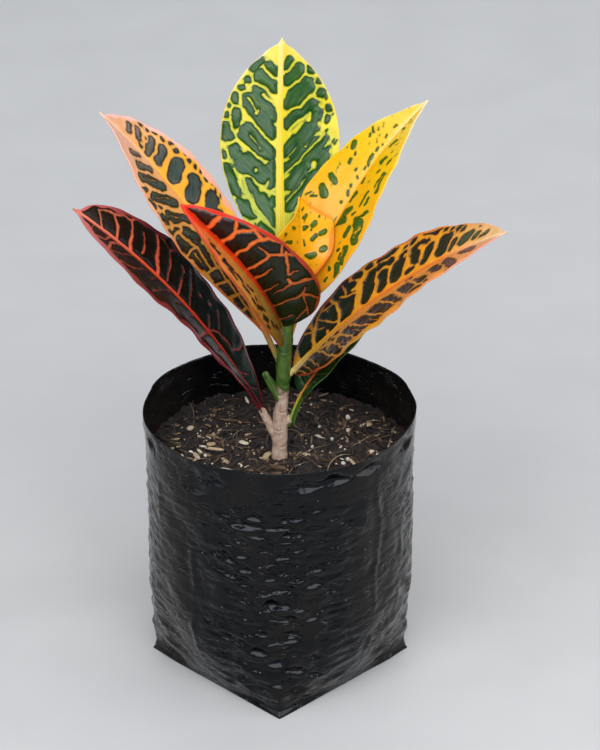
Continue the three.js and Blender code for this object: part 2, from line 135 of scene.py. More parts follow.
# One entry for each leaf. attach is the height on the stem; azimuth, rise and roll go from the
# petiole's base to the tip in degrees; fold lifts each half from the midrib (left, right);
# widest is where along the blade it is broadest, and taper sharpens both ends.
# A leaf's own places are (p, q): p mm along the blade from its base, and q mm across, left +.
# patches are the dark fields and cuts the light lines over them, each a tapering stroke from
# one (p, q) to the next; rim is the width of the coloured margin (left, right); flecks is
# (how many, smallest and largest radius, nearest and furthest share of the half width); grow is
# how far a patch spreads where there is room, gap the vein it leaves to the next patch, and streak
# how far pale veinlets show in the dark fields.
# brim is a field's dark edge: its colour, strength and width; wax is the skin's refraction, and
# stand_off how far from the stem's middle a leaf starts where it isn't at the stem's skin.
# Colours run from the blade's base to its tip: left and right are the margin's, left_vein and
# left_patch the left half's own, halo lies round the fields and stalk is the petiole's.
LEAVES = [
    dict(name="leaf_back", attach=207, azimuth=(95, 87), rise=(43, 68), roll=(-2, -7),
         petiole=30, blade=128.5, width=67, fold=(13, 18), widest=0.57, taper=1.75,
         rim=(0.9, 0.9), flecks=(46, 0.5, 1.0, 0.76, 0.93), rib_width=(3.7, 2.0),
         grow=1.5, gap=1.5, streak=0.2, brim=("#0e2c0c", 0.6, 1.8),
         patches=tapering("""
            27 4.5 40 11 2.5 4, 33 8 49 18 3 2.4, 37 5.5 41 4.5 2.5 2, 51 6 60 20 4.5 5.2, 55 5 58 5 3 3.5,
            64 24 67 26.5 3 2.8, 63.5 5.5 77 19 3 4, 77 5.5 95 17 3 4, 84 5.5 98 13 3 4,
            101.5 4.5 108 12 2.2 3.6, 110.5 4 114 8.5 1.5 1.7, 111.5 15 115.5 10.5 2.1 1.3,
            31.5 17 38 23 2 2.6, 42 23.5 56 30.5 1.8 2.8, 74.5 29.5 80 31 2.4 1.8, 80 24 88 25 1.8 2,
            94 25 95.5 24.5 1.8 1.6, 101 21 101.5 21 1.3, 104 19.5 105 18.5 1.2 1.4, 86 30 86.5 30 0.8,
            90.5 28.5 91 28.5 0.8, 64 31.3 65.5 31.3 1, 12 4 24 10 2 2.6, 36 -5 62 -22 3 6,
            47 -5 70 -21 3 4.3, 44 -12 58 -25 3 4, 56 -4.5 66 -12 2.5 3, 66 -5.5 78 -17 3.8 4.8,
            76 -14 88 -21 4 3.2, 82 -5.5 91 -19 3.2 3.8, 92.5 -5.5 102 -16 3.4 4.2, 105 -4 111 -9.5 2.2 2.5,
            112.5 -3.5 116 -5.5 1.3 1.5, 70.5 -24 72 -24.5 2.2, 98 -22.5 98.5 -22.5 1.9,
            111 -17.3 111.5 -17.3 1.5, 84 -26.5 85 -26.5 1.2, 88.5 -27 89.5 -26.8 1.2,
            66 -26.5 67 -26.8 1.4 1.3, 104 -21.8 104.5 -21.8 0.9, 14 -4 34 -14 2 4, 30 -17 44 -24 2.4 3"""),
         cuts=tapering("""
            43 4 46 10.5 1 1.5, 46 10 48.5 13.5 1.2 0.4, 46 9 49.5 7 0.9 0.3, 55.4 13.4 55.9 13.6 0.9,
            67 11 75 17 0.25 0.35, 88 13.3 95 18.6 0.45 0.7, 91 3 97 9.5 0.7 0.8, 86.5 13.6 89 12.6 0.8 0.4,
            20 2 32 15 0.7, 32 15 51 21.4 0.7 0.6, 53 -2 58 -8 0.7 0.4, 58 -8 75 -25 0.5 0.55,
            57 -19 58.5 -20 1.4 1.1, 57.5 -20 54 -16 0.7 0.3, 77 -4 86 -15 0.9, 84 -16 86.5 -17 1.5 1.1,
            86 -3 97 -20 0.85 0.6, 38 -3 50 -14 0.35 0.25, 62 -3 68 -9 0.3 0.2"""),
         stalk="#a9a53c", rib="#cdbb1c #e8c41c #eec41e #f2d67e",
         vein="#a9b016 #dfc814 #eeca14 #f2cc44", halo="#7e9c1c",
         patch="#2a5c08 #164a0c #15480e #285a14",
         left="#a9b524 #d8c42c #e6c83c #f2dcb0", right="#a9b524 #dcc22c #e9c63a #eec860",
         under="#8b9d46"),
    dict(name="leaf_back_right", attach=199.5, azimuth=(48, 25), rise=(65, 38), roll=(15, -2),
         petiole=20.5, blade=129, width=49.5, fold=(28, 17), widest=0.43, taper=1.5,
         rim=(0.7, 0.9), flecks=(40, 0.2, 0.45, 0.3, 0.9), rib_width=(1.3, 1.3),
         grow=0.1, gap=1.0, streak=0.25, brim=("#2c3008", 0.6, 0.9),
         patches=tapering("""
            55.5 13 58.5 17 2.1, 64 11.5 66.5 16.5 1.4 1.7, 85 15.5 87.5 17 1.6 1.5, 77 11.5 79 12 1.1 0.9,
            82 12 82.8 12.5 0.8 0.6, 76 6 76.6 6 0.7 0.6, 81 1.6 88 3.8 0.9 0.8, 72 2.7 73 3 0.7,
            66 2.7 67.5 3.4 0.6 0.7, 62 2 64 3 0.7, 56 3 57 3.2 0.6, 78 2.6 79.5 3 0.6, 91 3.2 92 3.5 0.6,
            94.5 2.2 95 2.6 0.5, 99 3.8 100 4.2 0.6, 106.5 3.5 107.5 3.8 0.6, 52 19 53.5 16.5 0.8 0.6,
            51 22 54 21 0.4 0.6, 94 11 96 12.5 0.6 0.5, 97.5 11 100 13.5 0.7 0.6, 30 8 33 11 1.4 1.8,
            24 12 27 14 1.4 1.2, 38 14 41 17 1.2 1.6, 47.5 -1 49 -5 2.5 2.6, 52 -3.2 57 -6 2.3 1.7,
            61 -1.4 65 -2.6 1.5 1.7, 72.5 -1.8 74.5 -2.2 1.4 1.1, 87 -7 89.5 -8 1.5 1.2,
            97 -4.5 101 -5.5 1.1 1.3, 108.5 -2.5 109 -4.5 0.9, 42 -12 47 -12 1.4 1.5, 42 -20 52 -18 2.6 3.1,
            50 -15.5 53 -15 1.8 2, 28 -18 36 -17 1.5 1.8, 20 -17.5 26 -16 1.5 1.7, 29 -15 32 -15.5 1,
            22 -11.5 22.5 -11 1.1 1, 15 -11.5 17 -12.5 1 0.8, 60 -12 69 -12.5 0.6 0.9,
            62 -15.5 66 -16 0.8 1, 72 -18.5 81 -16 1.2 1.6, 73 -15 78 -15 0.5 0.7, 52 -13 60 -20 0.7 0.9,
            81 -9.5 82 -10 0.8, 88 -13.5 90 -13.5 0.7, 33 -12 34 -12.5 0.9, 54 -10 56 -11 0.8"""),
         cuts=tapering("""
            43 -19 51 -19.5 0.3, 45 -17 50 -20.5 0.3, 30 -16.5 35 -16.2 0.25, 73 -17.5 80 -16.4 0.25 0.3"""),
         stalk="#c9a34a", rib="#e69212 #f0a012 #f2ae16 #f7dca8",
         vein="#e38c0a #f0a40c #efb60c #f3cf58", halo="#c8a512",
         patch="#31500a #345708 #44620a #6a7420",
         left="#e89a10 #f2b414 #efd024 #f8dca6", right="#e2900f #f1b01a #f0cf52 #f8dcb0",
         under="#c4a548"),
    dict(name="leaf_small_inner", attach=209.5, azimuth=(32, 145), rise=(67, 88), roll=(-4, 10),
         petiole=18.5, blade=51, width=38, fold=(23, 12), widest=0.64, taper=1.5,
         rim=(0.7, 2.4), flecks=(14, 0.2, 0.4, 0.1, 0.9), rib_width=(0.9, 0.9),
         grow=0.0, gap=1.0, streak=0.25, brim=("#2c3008", 0.6, 0.9),
         patches=tapering("""
            17.5 -3.5 18.5 -6 1.7, 23.5 -1.7 26 -1.2 0.8 0.5, 20.5 -10 21 -12 1.5 1.6, 26.5 -6 28 -8 1.5,
            29 -11 29.5 -13 1.6, 32.5 -1.2 33 -2.4 1.4, 33.5 -6 34.5 -8 1.5 1.6, 38.5 -2.5 39.5 -4 1.2 1.1,
            46.3 -8.2 46.8 -9.2 0.9 0.8, 37 -11 37.5 -11.5 0.8 0.7, 43 -1.4 44 -2 0.6 0.5,
            31 -5 31.6 -5.4 0.6, 20 6 21 9 1.1 1.3, 27 8 28 11 1.2 1, 35 6 36 8 1, 14 4 15 5.5 0.9 0.8,
            33 13 34 14 0.9 0.8"""),
         cuts=tapering(""),
         stalk="#d6a040", rib="#ee9a14 #f1a818 #f2ae1c #f3b020",
         vein="#f0920c #f4a00c #f3ac10 #f3ac12", halo="#d9a512",
         patch="#33540c #3a5c0a #4a6810 #5a7018",
         left="#ec9616 #f0a418 #f2ac1a #f2b01c", right="#ec7a18 #ee7e1a #f0881c #f0961c",
         under="#cfa04a"),
    dict(name="leaf_upper_left", attach=184.5, azimuth=(141, 178), rise=(59, 45),
         roll=(-56, 7), petiole=12, blade=157, width=52.5, fold=(9, 11), widest=0.7, taper=1.7,
         rim=(1.5, 3.8), flecks=(16, 0.35, 0.8, 0.84, 0.97), rib_width=(1.6, 1.6),
         grow=0.8, gap=1.8, streak=0.1, brim=("#241206", 0.85, 2.0),
         patches=tapering("""
            77 -11 81 -16.5 3.2 3.6, 88.5 -6.5 93.5 -14.5 3.7 3.9, 103 -5.5 106 -14 3.5,
            114.5 -5 117 -14.5 2.2 2.1, 122 -4.5 124.5 -13.5 2, 130 -7 134 -13.5 1.7,
            137 -6 138.5 -11.5 1.3, 127 -4 128.6 -4.6 1 0.9, 60 -5 64 -12 3.2 3.6, 69 -5 73 -12 2.6 2.8,
            49 -5 53 -9 2.6 2.8, 39 -4.5 42 -7 2.2 2.4, 28 -4 31 -6 1.6 1.8, 69 6.5 77 13 2.2 2.9,
            81 6 91 18 2 2.5, 93 6.5 105 19.5 2.2 2.9, 104 6.5 117.5 17.8 2.4 3, 116 6 123.5 14 2 2.4,
            126 5.5 131 10.5 1.3 1.7, 88 20.5 94 22.3 1.2 1.4, 101 23.4 105 24.2 1.6 1.4,
            97 19.5 99 20.5 0.9, 111 22.6 112 22.8 0.9, 10 2 30 5 0.8 2.8, 30 5 50 9 2.8 4.6,
            50 9 66 12.6 4.6 5.4, 66 15 80 18.4 4 3.4, 81 21.4 84 22 1, 82 -20.4 82.4 -20.6 0.8,
            85.6 -22 86 -22 0.9, 89.6 -20.8 90 -21.2 1, 94 -22.2 94.6 -22.4 0.7, 98 -21.4 98.4 -21.8 0.8,
            102.5 -20.6 103 -21 0.9 0.8, 106.5 -22.6 107 -22.8 0.6, 111 -20 111.4 -20.4 0.9,
            115 -22.2 115.4 -22.2 0.7, 119.5 -20.2 120 -20.4 0.8, 125 -20.6 125.4 -20.6 0.8,
            129 -18.6 129.4 -18.8 0.8 0.7, 133 -18.8 133.4 -18.8 0.6, 127.5 -11 127.8 -11.4 0.7"""),
         cuts=tapering("""
            30.6 3 31.6 10 1 0.9, 41 5 41.4 12 0.8, 50.2 6 50.4 16 0.9, 66.4 12 65.6 20 1 0.9,
            22 3 23 8 0.6, 12 1.6 34 4.6 0.4 0.55, 34 4.6 52 6.2 0.55 0.7, 52 6.2 68 5 0.7 0.9,
            50.4 10.4 66 11 0.7 0.8, 66 11.6 80 17 0.9, 80 14 79.6 22 1 0.9, 58 13.6 64 14.2 0.3,
            84 10 90 16.5 0.2, 97 9 104 18 0.2, 109 9 117 17 0.2"""),
         stalk="#8d7f3c", rib="#d8741a #ee951a #efa63c #f3c5a2",
         vein="#cf6c1c #f0a61a #efa432 #f0ac88", left_vein="#8f4a12 #dd8a30 #eaa268 #f3b7a0",
         # painted highlight: these grey dark-field tones, lighter towards the fields' middles inside the
         # dark brim, are partly the leaf's own grey-green and partly the sky's glare on the wax
         halo="#b07a26", patch="#20160c #2c3329 #3a4740 #94786c",
         left="#b8501c #dd8440 #eda482 #f4bfa8", right="#c4601e #e09a70 #eba890 #f4bdac",
         under="#a97c5e"),
    dict(name="leaf_front_centre", attach=205.5, azimuth=(218, 159), rise=(70, 38),
         roll=(-78, -34), petiole=1.5, blade=95, width=59, fold=(62, 62), widest=0.27,
         taper=1.1, rim=(1.8, 2.4), flecks=(8, 0.4, 0.7, 0.6, 0.8), rib_width=(12.6, 1.5),
         grow=0.0, gap=1.0, streak=0.06, brim=("#0b0a04", 0.5, 1.3),
         patches=tapering("""
            0 -41 84 -41 40, 25.5 24.2 28 25 1.4, 31.5 22.6 34 23.6 1.5 1.6, 29 20.4 31 20.2 0.8,
            43 21.4 47 20.4 1.1 0.9, 41 17.8 44 17.4 0.8, 48 18.4 52 17.4 0.9, 56 17.2 62 15.4 1.1 1,
            66 14.6 71 12.6 0.9 0.8, 37 24 40 23.2 0.8, 19 22 21 22 1, 36 20.6 38 20.2 0.6,
            52 20.6 57 18.8 0.5, 14 19 17 20 1.1 1.2, 22 26.6 24 27 0.8"""),
         cuts=tapering("""
            6.4 0 7.6 -10 0.45 0.3, 16.2 0 17 -12 0.65 0.55, 17 -12 17.2 -19 0.55 0.7,
            17.2 -19 11 -25 0.7 0.6, 17.2 -19.4 20 -22 0.7 0.3, 3.5 -16.5 17 -19.4 0.5 0.4,
            2.5 -9 9 -17.5 0.3 0.4, 24.2 -6.5 24.9 -15.5 0.35 0.5, 25.6 -17 28.4 -16.6 1.2 0.8,
            25.4 -17.4 22.6 -27.5 0.8 0.6, 26.5 0 28.5 -10 0.55 0.3, 31.4 -18.4 41.5 -24.4 0.65,
            31.4 -18.4 30.2 -24 0.55 0.45, 36.8 0 38.4 -13 0.9 0.4, 43.2 0 44.8 -16.6 1 0.95,
            44.8 -16.8 52 -14.8 0.8 0.2, 44.8 -17 40.6 -23.6 0.85 0.7, 40.6 -23.6 37.6 -26.6 0.7 0.5,
            42 -22 47 -26 0.6, 54.8 0 54.6 -17.4 1.1 0.95, 54.6 -17.4 51.6 -22.2 0.95 0.8,
            51.6 -22.2 45 -26 0.8 0.7, 54.6 -18.4 61 -19.6 1 0.9, 65.6 0 64.6 -11 1.25 1.05,
            64.6 -11 61.2 -18.6 1 0.9, 64.6 -11 69.4 -16.4 1 0.9, 76 0 76.6 -10.6 1.6 1.4,
            60 -21 72 -15.4 1.3 1.6, 72 -15.4 86 -6.4 1.2, 50 -25.4 60 -21 0.7 1.3"""),
         stalk="#8d8a34", rib="#8f3a16 #e0441a #ea4412 #e6321a",
         vein="#b0642c #e8782c #f07026 #f04c20", halo="#7a2a14",
         patch="#1a240c #141a0c #160f08 #3a120c",
         left_vein="#6a5a20 #a8742a #cc702a #d84a1c",
         left="#7a4416 #8e4416 #b8401a #d83a1c", right="#8a3a1c #a4301c #c8301c #d62c1c",
         under="#7e3020"),
    dict(name="leaf_lower_left", attach=142, azimuth=(169, 191), rise=(64, 40), roll=(12, -27),
         petiole=13.5, blade=161, width=61, fold=(18, 15), widest=0.49, taper=1.2,
         rim=(4.2, 3.3), flecks=(12, 0.4, 0.8, 0.5, 0.9), rib_width=(4.6, 1.7),
         grow=0.0, gap=1.0, streak=0.06, brim=("#0a0604", 0.4, 1.3), wax=1.22,
         patches=tapering("0 0 161 0 45"),
         cuts=tapering("""
            141.5 -1 147 -8.5 0.7 0.6, 147 -8.5 143 -12 0.5, 131.4 -1 133.4 -8 1 0.95,
            133.4 -8 137 -13 0.95 0.8, 137 -13 143 -11.4 0.7 0.6, 137 -13 132 -18 0.7,
            132 -18 126.4 -18.6 0.7 0.8, 121 -1 122.6 -8 1.1 1, 122.6 -8 126.4 -19 1 0.8,
            126.4 -19 121 -24 0.8, 113.4 -4.6 114.6 -10 0.8 0.7, 114.6 -10 117.2 -18 0.6 0.35,
            100.4 0 104 -10 1.35 1.2, 104 -10 109.4 -24 1.2 1, 92.6 -3 95 -12 0.6 0.55,
            95 -12 99.4 -20.6 0.55 0.45, 99.4 -20.6 95 -25.6 0.45 0.3, 99 -20.6 106 -24.6 0.4,
            83.6 -1 85.4 -12 1 0.6, 86.4 -17.6 88 -20 0.8 0.7, 85.4 -12 87 -18 0.3, 74 -2 77.6 -14 0.4 0.35,
            77.6 -14 82 -23 0.35 0.25, 70 -15 70.3 -15.3 0.8 0.7, 62 -18 62.4 -18 1.1 1,
            57.5 -3 60 -10 0.4 0.35, 57 -2 50 -7 0.8 0.7, 50 -7 38 -8 0.7 0.6, 38 -8 33 -14 0.7,
            33 -14 33 -20 0.7 0.5, 33 -20 38 -27 0.5, 26 -1 20 -9 0.4 0.3, 16 -1 12 -7 0.4 0.3,
            51 -9 56 -20 0.25, 146 1 149 7 0.5 0.4, 134 1 140 9 0.9 0.6, 140 9 146 11 0.6 0.8,
            127 1 136 9 0.9 1.1, 136 9 136.6 18 1.1 0.9, 119 3 127 11 0.5 0.4, 127 11 134 15 0.4 0.6,
            108 6 118 16 0.4 0.5, 118 16 128 19 0.6 0.5, 100 5 106 13 0.3, 90 6 98 15 0.3,
            98 15 103 23 0.4 0.6, 80 6 86 14 0.3, 57 2 67 26 1.4 1, 68 1 75 13 0.4 0.3, 44 1 51 16 0.5 0.3,
            32 1 38 13 0.4 0.3, 20 1 24 9 0.4 0.3"""),
         stalk="#9c1f28", rib="#7e2420 #d23c22 #e0502a #de7a62",
         vein="#9a4048 #cc4c40 #ea6440 #ee8a60", halo="#5a1a14",
         patch="#0c1f10 #0a120a #150f0a #241a10", left_patch="#1c0c0a #26100a #22140a #38201a",
         left_vein="#7a1a1e #a02420 #b0442c #e07a5c",
         left="#6a161c #6e1a1c #7c2a28 #c46a62", right="#7c1a22 #641422 #6e1a24 #c8605a",
         under="#6a2530"),
    dict(name="leaf_right", attach=178, azimuth=(-8, -45), rise=(52, 31), roll=(19, 23),
         petiole=3, blade=170, width=65, fold=(8, 8), widest=0.42, taper=1.4,
         rim=(2.0, 1.9), flecks=(26, 0.5, 1.0, 0.78, 0.97), rib_width=(1.5, 4.4),
         grow=1.4, gap=1.7, streak=0.08, brim=("#34180a", 0.75, 1.5),
         patches=tapering("""
            13 5.6 13 12 4.6 5, 25 6.4 29 14 5, 34 7 36 14 4.6 5, 45.6 7.2 46 15 5.4 5.6, 24 18 30 21 3 3.4,
            36 21 50 22.4 4.2 3.2, 61.6 6.6 63.6 17.6 3.5 3.7, 64.6 20.6 71 23.2 3 2.6,
            71 23.2 77.6 21.4 2.5 1.5, 73 6.4 72.6 15.6 2.9 2.8, 83.4 6.6 84.6 15.6 3.6,
            85 19.6 87.6 21.8 1.6 1.1, 95.4 17.6 98.4 8.6 2.7 2.2, 95 20 100 22.2 2.5 2.1,
            100 22.2 103.6 19.6 1.7 1.1, 105 6.6 106.8 14.8 2, 93 4.2 97 5.4 1.1 0.9,
            117.6 6.8 118.6 15.6 3.3 3.5, 125 5 126.2 8.6 1.3 1.5, 133.4 7.8 137 8.8 3.3 3,
            142.6 6.2 144.6 6.2 1.6 1.5, 148 4.6 152 5.4 0.5, 38 24.6 47 26.4 2 1.9, 31.5 21.6 35 18.6 1.4,
            53.4 27 55 26.4 1.9, 62 28 62.6 28 1.3, 69 28.2 78 28.4 1.3 1.2, 92.6 26 93.6 25.8 1.6,
            101.6 27.4 111.6 25 1.2 1.6, 115 23.6 115.6 23.4 1.2 1.1, 125 19.8 126 19.2 1.5 1.3,
            129 17.2 129.6 17 1.1 1, 88 25.4 88.6 25.4 0.8, 120 21.4 120.6 21.4 0.7, 8 -9 22 -14 5.8 8,
            28 -19 42 -22 6 7, 46 -18.4 62 -19 7.8 9.3, 62 -19 85 -17 9.3 8.8, 85 -17 102 -14.5 8.8 6,
            102 -13.4 113 -14.6 4.6 2.8, 116 -8 125 -11.6 1.9 2.2, 126.6 -7.2 137 -14.6 2.1 2,
            137 -3.2 147 -6 1 1.2, 108 -21 117 -20.6 1.6 1.3, 26 -4.6 28 -5.6 0.7, 31.6 -4.8 33 -6 0.6,
            38 -5.8 39 -6.6 0.5, 35 -8.4 36 -8.8 0.5, 95.6 -3.6 98 -4.6 0.6 0.5"""),
         cuts=tapering("""
            67.4 20 69.6 12 0.6 0.7, 69.6 12 69.2 2 0.7 0.8, 102 8 102.4 16.6 1.6 1.4,
            24 17.6 30 11.4 0.45 0.5, 30 11.4 38.4 4 0.5 0.6, 21.6 10.8 28 8.4 0.4 0.3,
            42 19.6 53.6 14.6 0.6 0.7, 19.4 0 20.4 9 1.2 1, 20.4 9 24 18 1 0.9, 24 18 31 25 0.9 0.7,
            13 16 20 12 0.7 0.5, 39.6 2 40.8 10 1.3 1.2, 40.8 10 38.4 18 1.2 1, 38.4 18 33 26.6 1 0.8,
            39 18.6 29 20.6 0.6 0.5, 55 2 56 12 2.4 2.1, 56 12 55.6 20 2.1 1.6, 46 19 44 27 0.6 0.5,
            3 -3 13 -18 0.3, 8 -3 18 -19.6 0.35 0.3, 13 -3 24 -21 0.4 0.3, 18 2 19.6 -3 0.9,
            19.6 -3 25 -9 0.9 0.7, 25 -9 34 -21 0.7 0.6, 34 -21 45 -31 0.6 0.5, 31 -8 37 -12 0.9 0.7,
            37 -12 50 -30 0.65 0.5, 40 -9 47 -15 1.1 0.7, 47 -15 62 -30 0.65 0.5, 51 -9 60 -18 1 0.65,
            60 -18 78 -31 0.65 0.6, 61 -8 72 -18 1 0.65, 72 -18 91 -29 0.65 0.6, 72 -7 83 -15 0.9 0.65,
            83 -15 99 -27 0.65 0.7, 82 -5 93 -15 1.4 1.15, 93 -15 108 -28 1.15 1.3, 96 -5 108 -16 0.9 0.8,
            108 -16 119 -23 0.8 0.9, 106 -7 116 -13 0.7 0.5, 45 -19 57 -31 0.22, 67 -19 84 -30 0.22,
            54 -17 69 -29 0.22, 88 -13 102 -25 0.22 0.25"""),
         stalk="#c9b070", rib="#c8901c #ec7a1a #f07a30 #f9d2a8",
         vein="#a87c20 #e88c1a #ee8c24 #f2a874", left_vein="#c98a1c #ef9c1c #f29a24 #f6c486",
         halo="#a86a1c", patch="#16140a #27150a #36190f #a06258",
         left_patch="#0e1c0a #101d0c #1c2014 #66744e",
         left="#8c241c #cc5a20 #ee8a2c #f5bf88", right="#8f2c20 #c08a2a #ea8a44 #f3a48e",
         under="#a97440"),
    dict(name="leaf_lower_right", attach=151, stand_off=7, azimuth=(-13, 66), rise=(78, 8),
         roll=(23, 13), petiole=17, blade=66, width=22.5, fold=(39, 38), widest=0.3, taper=0.8,
         rim=(0.6, 0.6), flecks=(6, 0.3, 0.5, 0.5, 0.9), rib_width=(1.1, 1.1),
         grow=0.0, gap=1.0, streak=0.15, brim=("#0d1606", 0.45, 1.3),
         patches=tapering("0 0 66 0 30"),
         cuts=tapering("""
            4 1 10 9 0.3, 10 1 16 9.5 0.35 0.3, 15 1 21 9.5 0.35 0.3, 20 1 27 9.5 0.4 0.3,
            26 1 33 9.5 0.4 0.3, 32 1 39 9 0.4 0.3, 38 1 44 8 0.4 0.3, 45 1 50 7 0.4 0.3, 52 1 56 6 0.3,
            5 -1 12 -9 0.3, 12 -1 19 -9.5 0.35 0.3, 19 -1 26 -9.5 0.4 0.3, 26 -1 33 -9.5 0.4 0.3,
            34 -1 41 -9 0.4 0.3, 42 -1 48 -7.5 0.4 0.3, 50 -1 55 -6 0.4 0.3"""),
         stalk="#a3ad3e", rib="#e06a22 #ea5c1c #e8602a #e88a50",
         vein="#66801e #7d7d20 #8d7a24 #a08a3a", halo="#44621a",
         patch="#143212 #12300f #16340f #2c4a1c",
         left="#2f5218 #33561a #3c5c1c #6a7a2c", right="#2f5218 #33561a #3c5c1c #6a7a2c",
         under="#55682e"),
]


# ---------------------------------------------------------------- shared numpy shapes


def ripple(points, size, seed, waves=11):
    """A smooth random field between about -1 and 1 over points of any dimension.

    The sum of plane waves in random directions, with lengths near size.
    """
    points = np.asarray(points, float)
    rng = np.random.default_rng(seed)
    heading = rng.normal(size=(waves, points.shape[-1]))
    heading /= np.linalg.norm(heading, axis=1)[:, None]
    length = size * rng.uniform(0.7, 1.6, waves)
    turn = rng.uniform(0, 2 * np.pi, waves)
    phase = points @ (heading / length[:, None]).T * 2 * np.pi + turn
    return np.sin(phase).sum(-1) / math.sqrt(waves / 2) / 1.6


def creases(points, size, seed, waves=7, squash=(1, 1, 1)):
    """Straight sharp folds that cross one another, between 0 and about 1.

    The mean of triangle waves in random directions, each running in and out of sight.
    """
    points = np.asarray(points, float) * np.asarray(squash)
    rng = np.random.default_rng(seed)
    total = np.zeros(points.shape[:-1])
    for k in range(waves):
        heading = rng.normal(size=3)
        heading /= np.linalg.norm(heading)
        run = (points @ heading) / (size * rng.uniform(0.7, 1.5)) + rng.uniform()
        fold = np.abs(2 * (run - np.floor(run)) - 1)
        share = np.clip(0.5 + ripple(points, size * 3, seed * 31 + k), 0, 1)
        total += (1 - fold) * share
    return total / waves * 2


def step(value, low, high):
    """Rises smoothly from 0 at low to 1 at high."""
    t = np.clip((value - low) / (high - low), 0, 1)
    return t * t * (3 - 2 * t)


def mix(a, b, t):
    """The straight line from a to b at the share t."""
    return a + (b - a) * t


def grid_faces(rows, columns):
    """Quads joining rows of points that each close on themselves, outward for rows that rise
    and run anticlockwise."""
    i, j = np.meshgrid(np.arange(rows - 1), np.arange(columns), indexing="ij")
    a = i * columns + j
    b = i * columns + (j + 1) % columns
    return np.stack([a, b, b + columns, a + columns], -1).reshape(-1, 4)


def fan_faces(first, columns, centre, upward):
    """Triangles from a ring of points to one point in its middle."""
    a = first + np.arange(columns)
    b = first + (np.arange(columns) + 1) % columns
    middle = np.full(columns, centre)
    return np.stack([a, b, middle] if upward else [b, a, middle], -1)


def closed_rings(rings):
    """Points and faces of a closed solid from rows of points, bottom row first."""
    rows, columns, _ = rings.shape
    points = rings.reshape(-1, 3)
    ends = np.stack([rings[0].mean(0), rings[-1].mean(0)])
    quads = grid_faces(rows, columns)
    low = fan_faces(0, columns, len(points), False)
    high = fan_faces((rows - 1) * columns, columns, len(points) + 1, True)
    return np.vstack([points, ends]), [quads, low, high]


def make_piece(name, points, faces, material, attributes=None):
    """A mesh object from points in millimetres, arrays of faces and values for each point."""
    mesh = bpy.data.meshes.new(name)
    corners = np.concatenate([block.ravel() for block in faces])
    sizes = np.concatenate([np.full(len(block), block.shape[1]) for block in faces])
    starts = np.concatenate([[0], np.cumsum(sizes)[:-1]])
    mesh.vertices.add(len(points))
    mesh.vertices.foreach_set("co", (np.asarray(points) * MM).astype(np.float32).ravel())
    mesh.loops.add(len(corners))
    mesh.loops.foreach_set("vertex_index", corners.astype(np.int32))
    mesh.polygons.add(len(sizes))
    mesh.polygons.foreach_set("loop_start", starts.astype(np.int32))
    mesh.polygons.foreach_set("use_smooth", np.ones(len(sizes), bool))
    mesh.update(calc_edges=True)
    if mesh.validate():
        raise RuntimeError(f"{name} has faces that do not hold together")
    for key, values in (attributes or {}).items():
        kind = "FLOAT" if np.ndim(values) == 1 else "FLOAT_VECTOR"
        field = "value" if kind == "FLOAT" else "vector"
        layer = mesh.attributes.new(key, kind, "POINT")
        layer.data.foreach_set(field, np.asarray(values, np.float32).ravel())
    mesh.materials.append(material)
    piece = bpy.data.objects.new(name, mesh)
    bpy.context.scene.collection.objects.link(piece)
    return piece


def settle(piece, node):
    """Ties a finished piece to the plant and hides the imported solid it stands for, if any."""
    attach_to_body(piece, "root")
    if node:
        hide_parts(node)


# ---------------------------------------------------------------- materials


def linear(colour):
    """An sRGB hex colour as linear red, green, blue and 1."""
    value = colour.lstrip("#")
    parts = [int(value[k:k + 2], 16) / 255 for k in (0, 2, 4)]
    return [c / 12.92 if c <= 0.04045 else ((c + 0.055) / 1.055) ** 2.4 for c in parts] + [1.0]


def opaque(colour):
    """A colour setting with an alpha of 1."""
    return [*colour, 1.0]


def per(millimetres):
    """The scale that makes a pattern's parts about so many millimetres across."""
    return 1 / (millimetres * MM)


RANGE = ("Value", "From Min", "From Max", "To Min", "To Max")
# The nodes by short names: Blender's kind, the sockets that values fill in order, the output that
# is used and fixed settings.
NODES = {
    "place": ("TexCoord", (), "Object", {}),
    "kept": ("Attribute", (), "Fac", {}),
    "kept vector": ("Attribute", (), "Vector", {}),
    "stretched": ("Mapping", ("Vector", "Scale"), 0, {}),
    "leaned": ("VectorRotate", ("Vector", "Angle"), 0, {"rotation_type": "Y_AXIS"}),
    "vector sum": ("VectorMath", (0, 1), 0, {"operation": "ADD"}),
    "vector times": ("VectorMath", (0, 1), 0, {"operation": "MULTIPLY"}),
    "vector scaled": ("VectorMath", (0, "Scale"), 0, {"operation": "SCALE"}),
    "parts": ("SeparateXYZ", ("Vector",), 0, {}),
    "channels": ("SeparateColor", ("Color",), 0, {}),
    "noise": ("TexNoise", ("Vector", "Scale", "Detail", "Roughness"), "Fac", {}),
    "cells": ("TexVoronoi", ("Vector", "Scale"), "Distance", {}),
    "range": ("MapRange", RANGE, "Result", {}),
    "eased": ("MapRange", RANGE, "Result", {"interpolation_type": "SMOOTHSTEP"}),
    "sum": ("Math", (0, 1), 0, {"operation": "ADD"}),
    "less": ("Math", (0, 1), 0, {"operation": "SUBTRACT"}),
    "times": ("Math", (0, 1), 0, {"operation": "MULTIPLY"}),
    "unsigned": ("Math", (0,), 0, {"operation": "ABSOLUTE"}),
    "blend": ("Mix", (0, 6, 7), 2, {"data_type": "RGBA"}),
    "band": ("ValToRGB", ("Fac",), "Color", {}),
    "bump": ("Bump", ("Strength", "Distance", "Height"), 0, {}),
    "skin": ("BsdfPrincipled", ("Base Color", "Roughness", "Normal", "IOR"), 0, {}),
    "output": ("OutputMaterial", ("Surface",), None, {}),
}


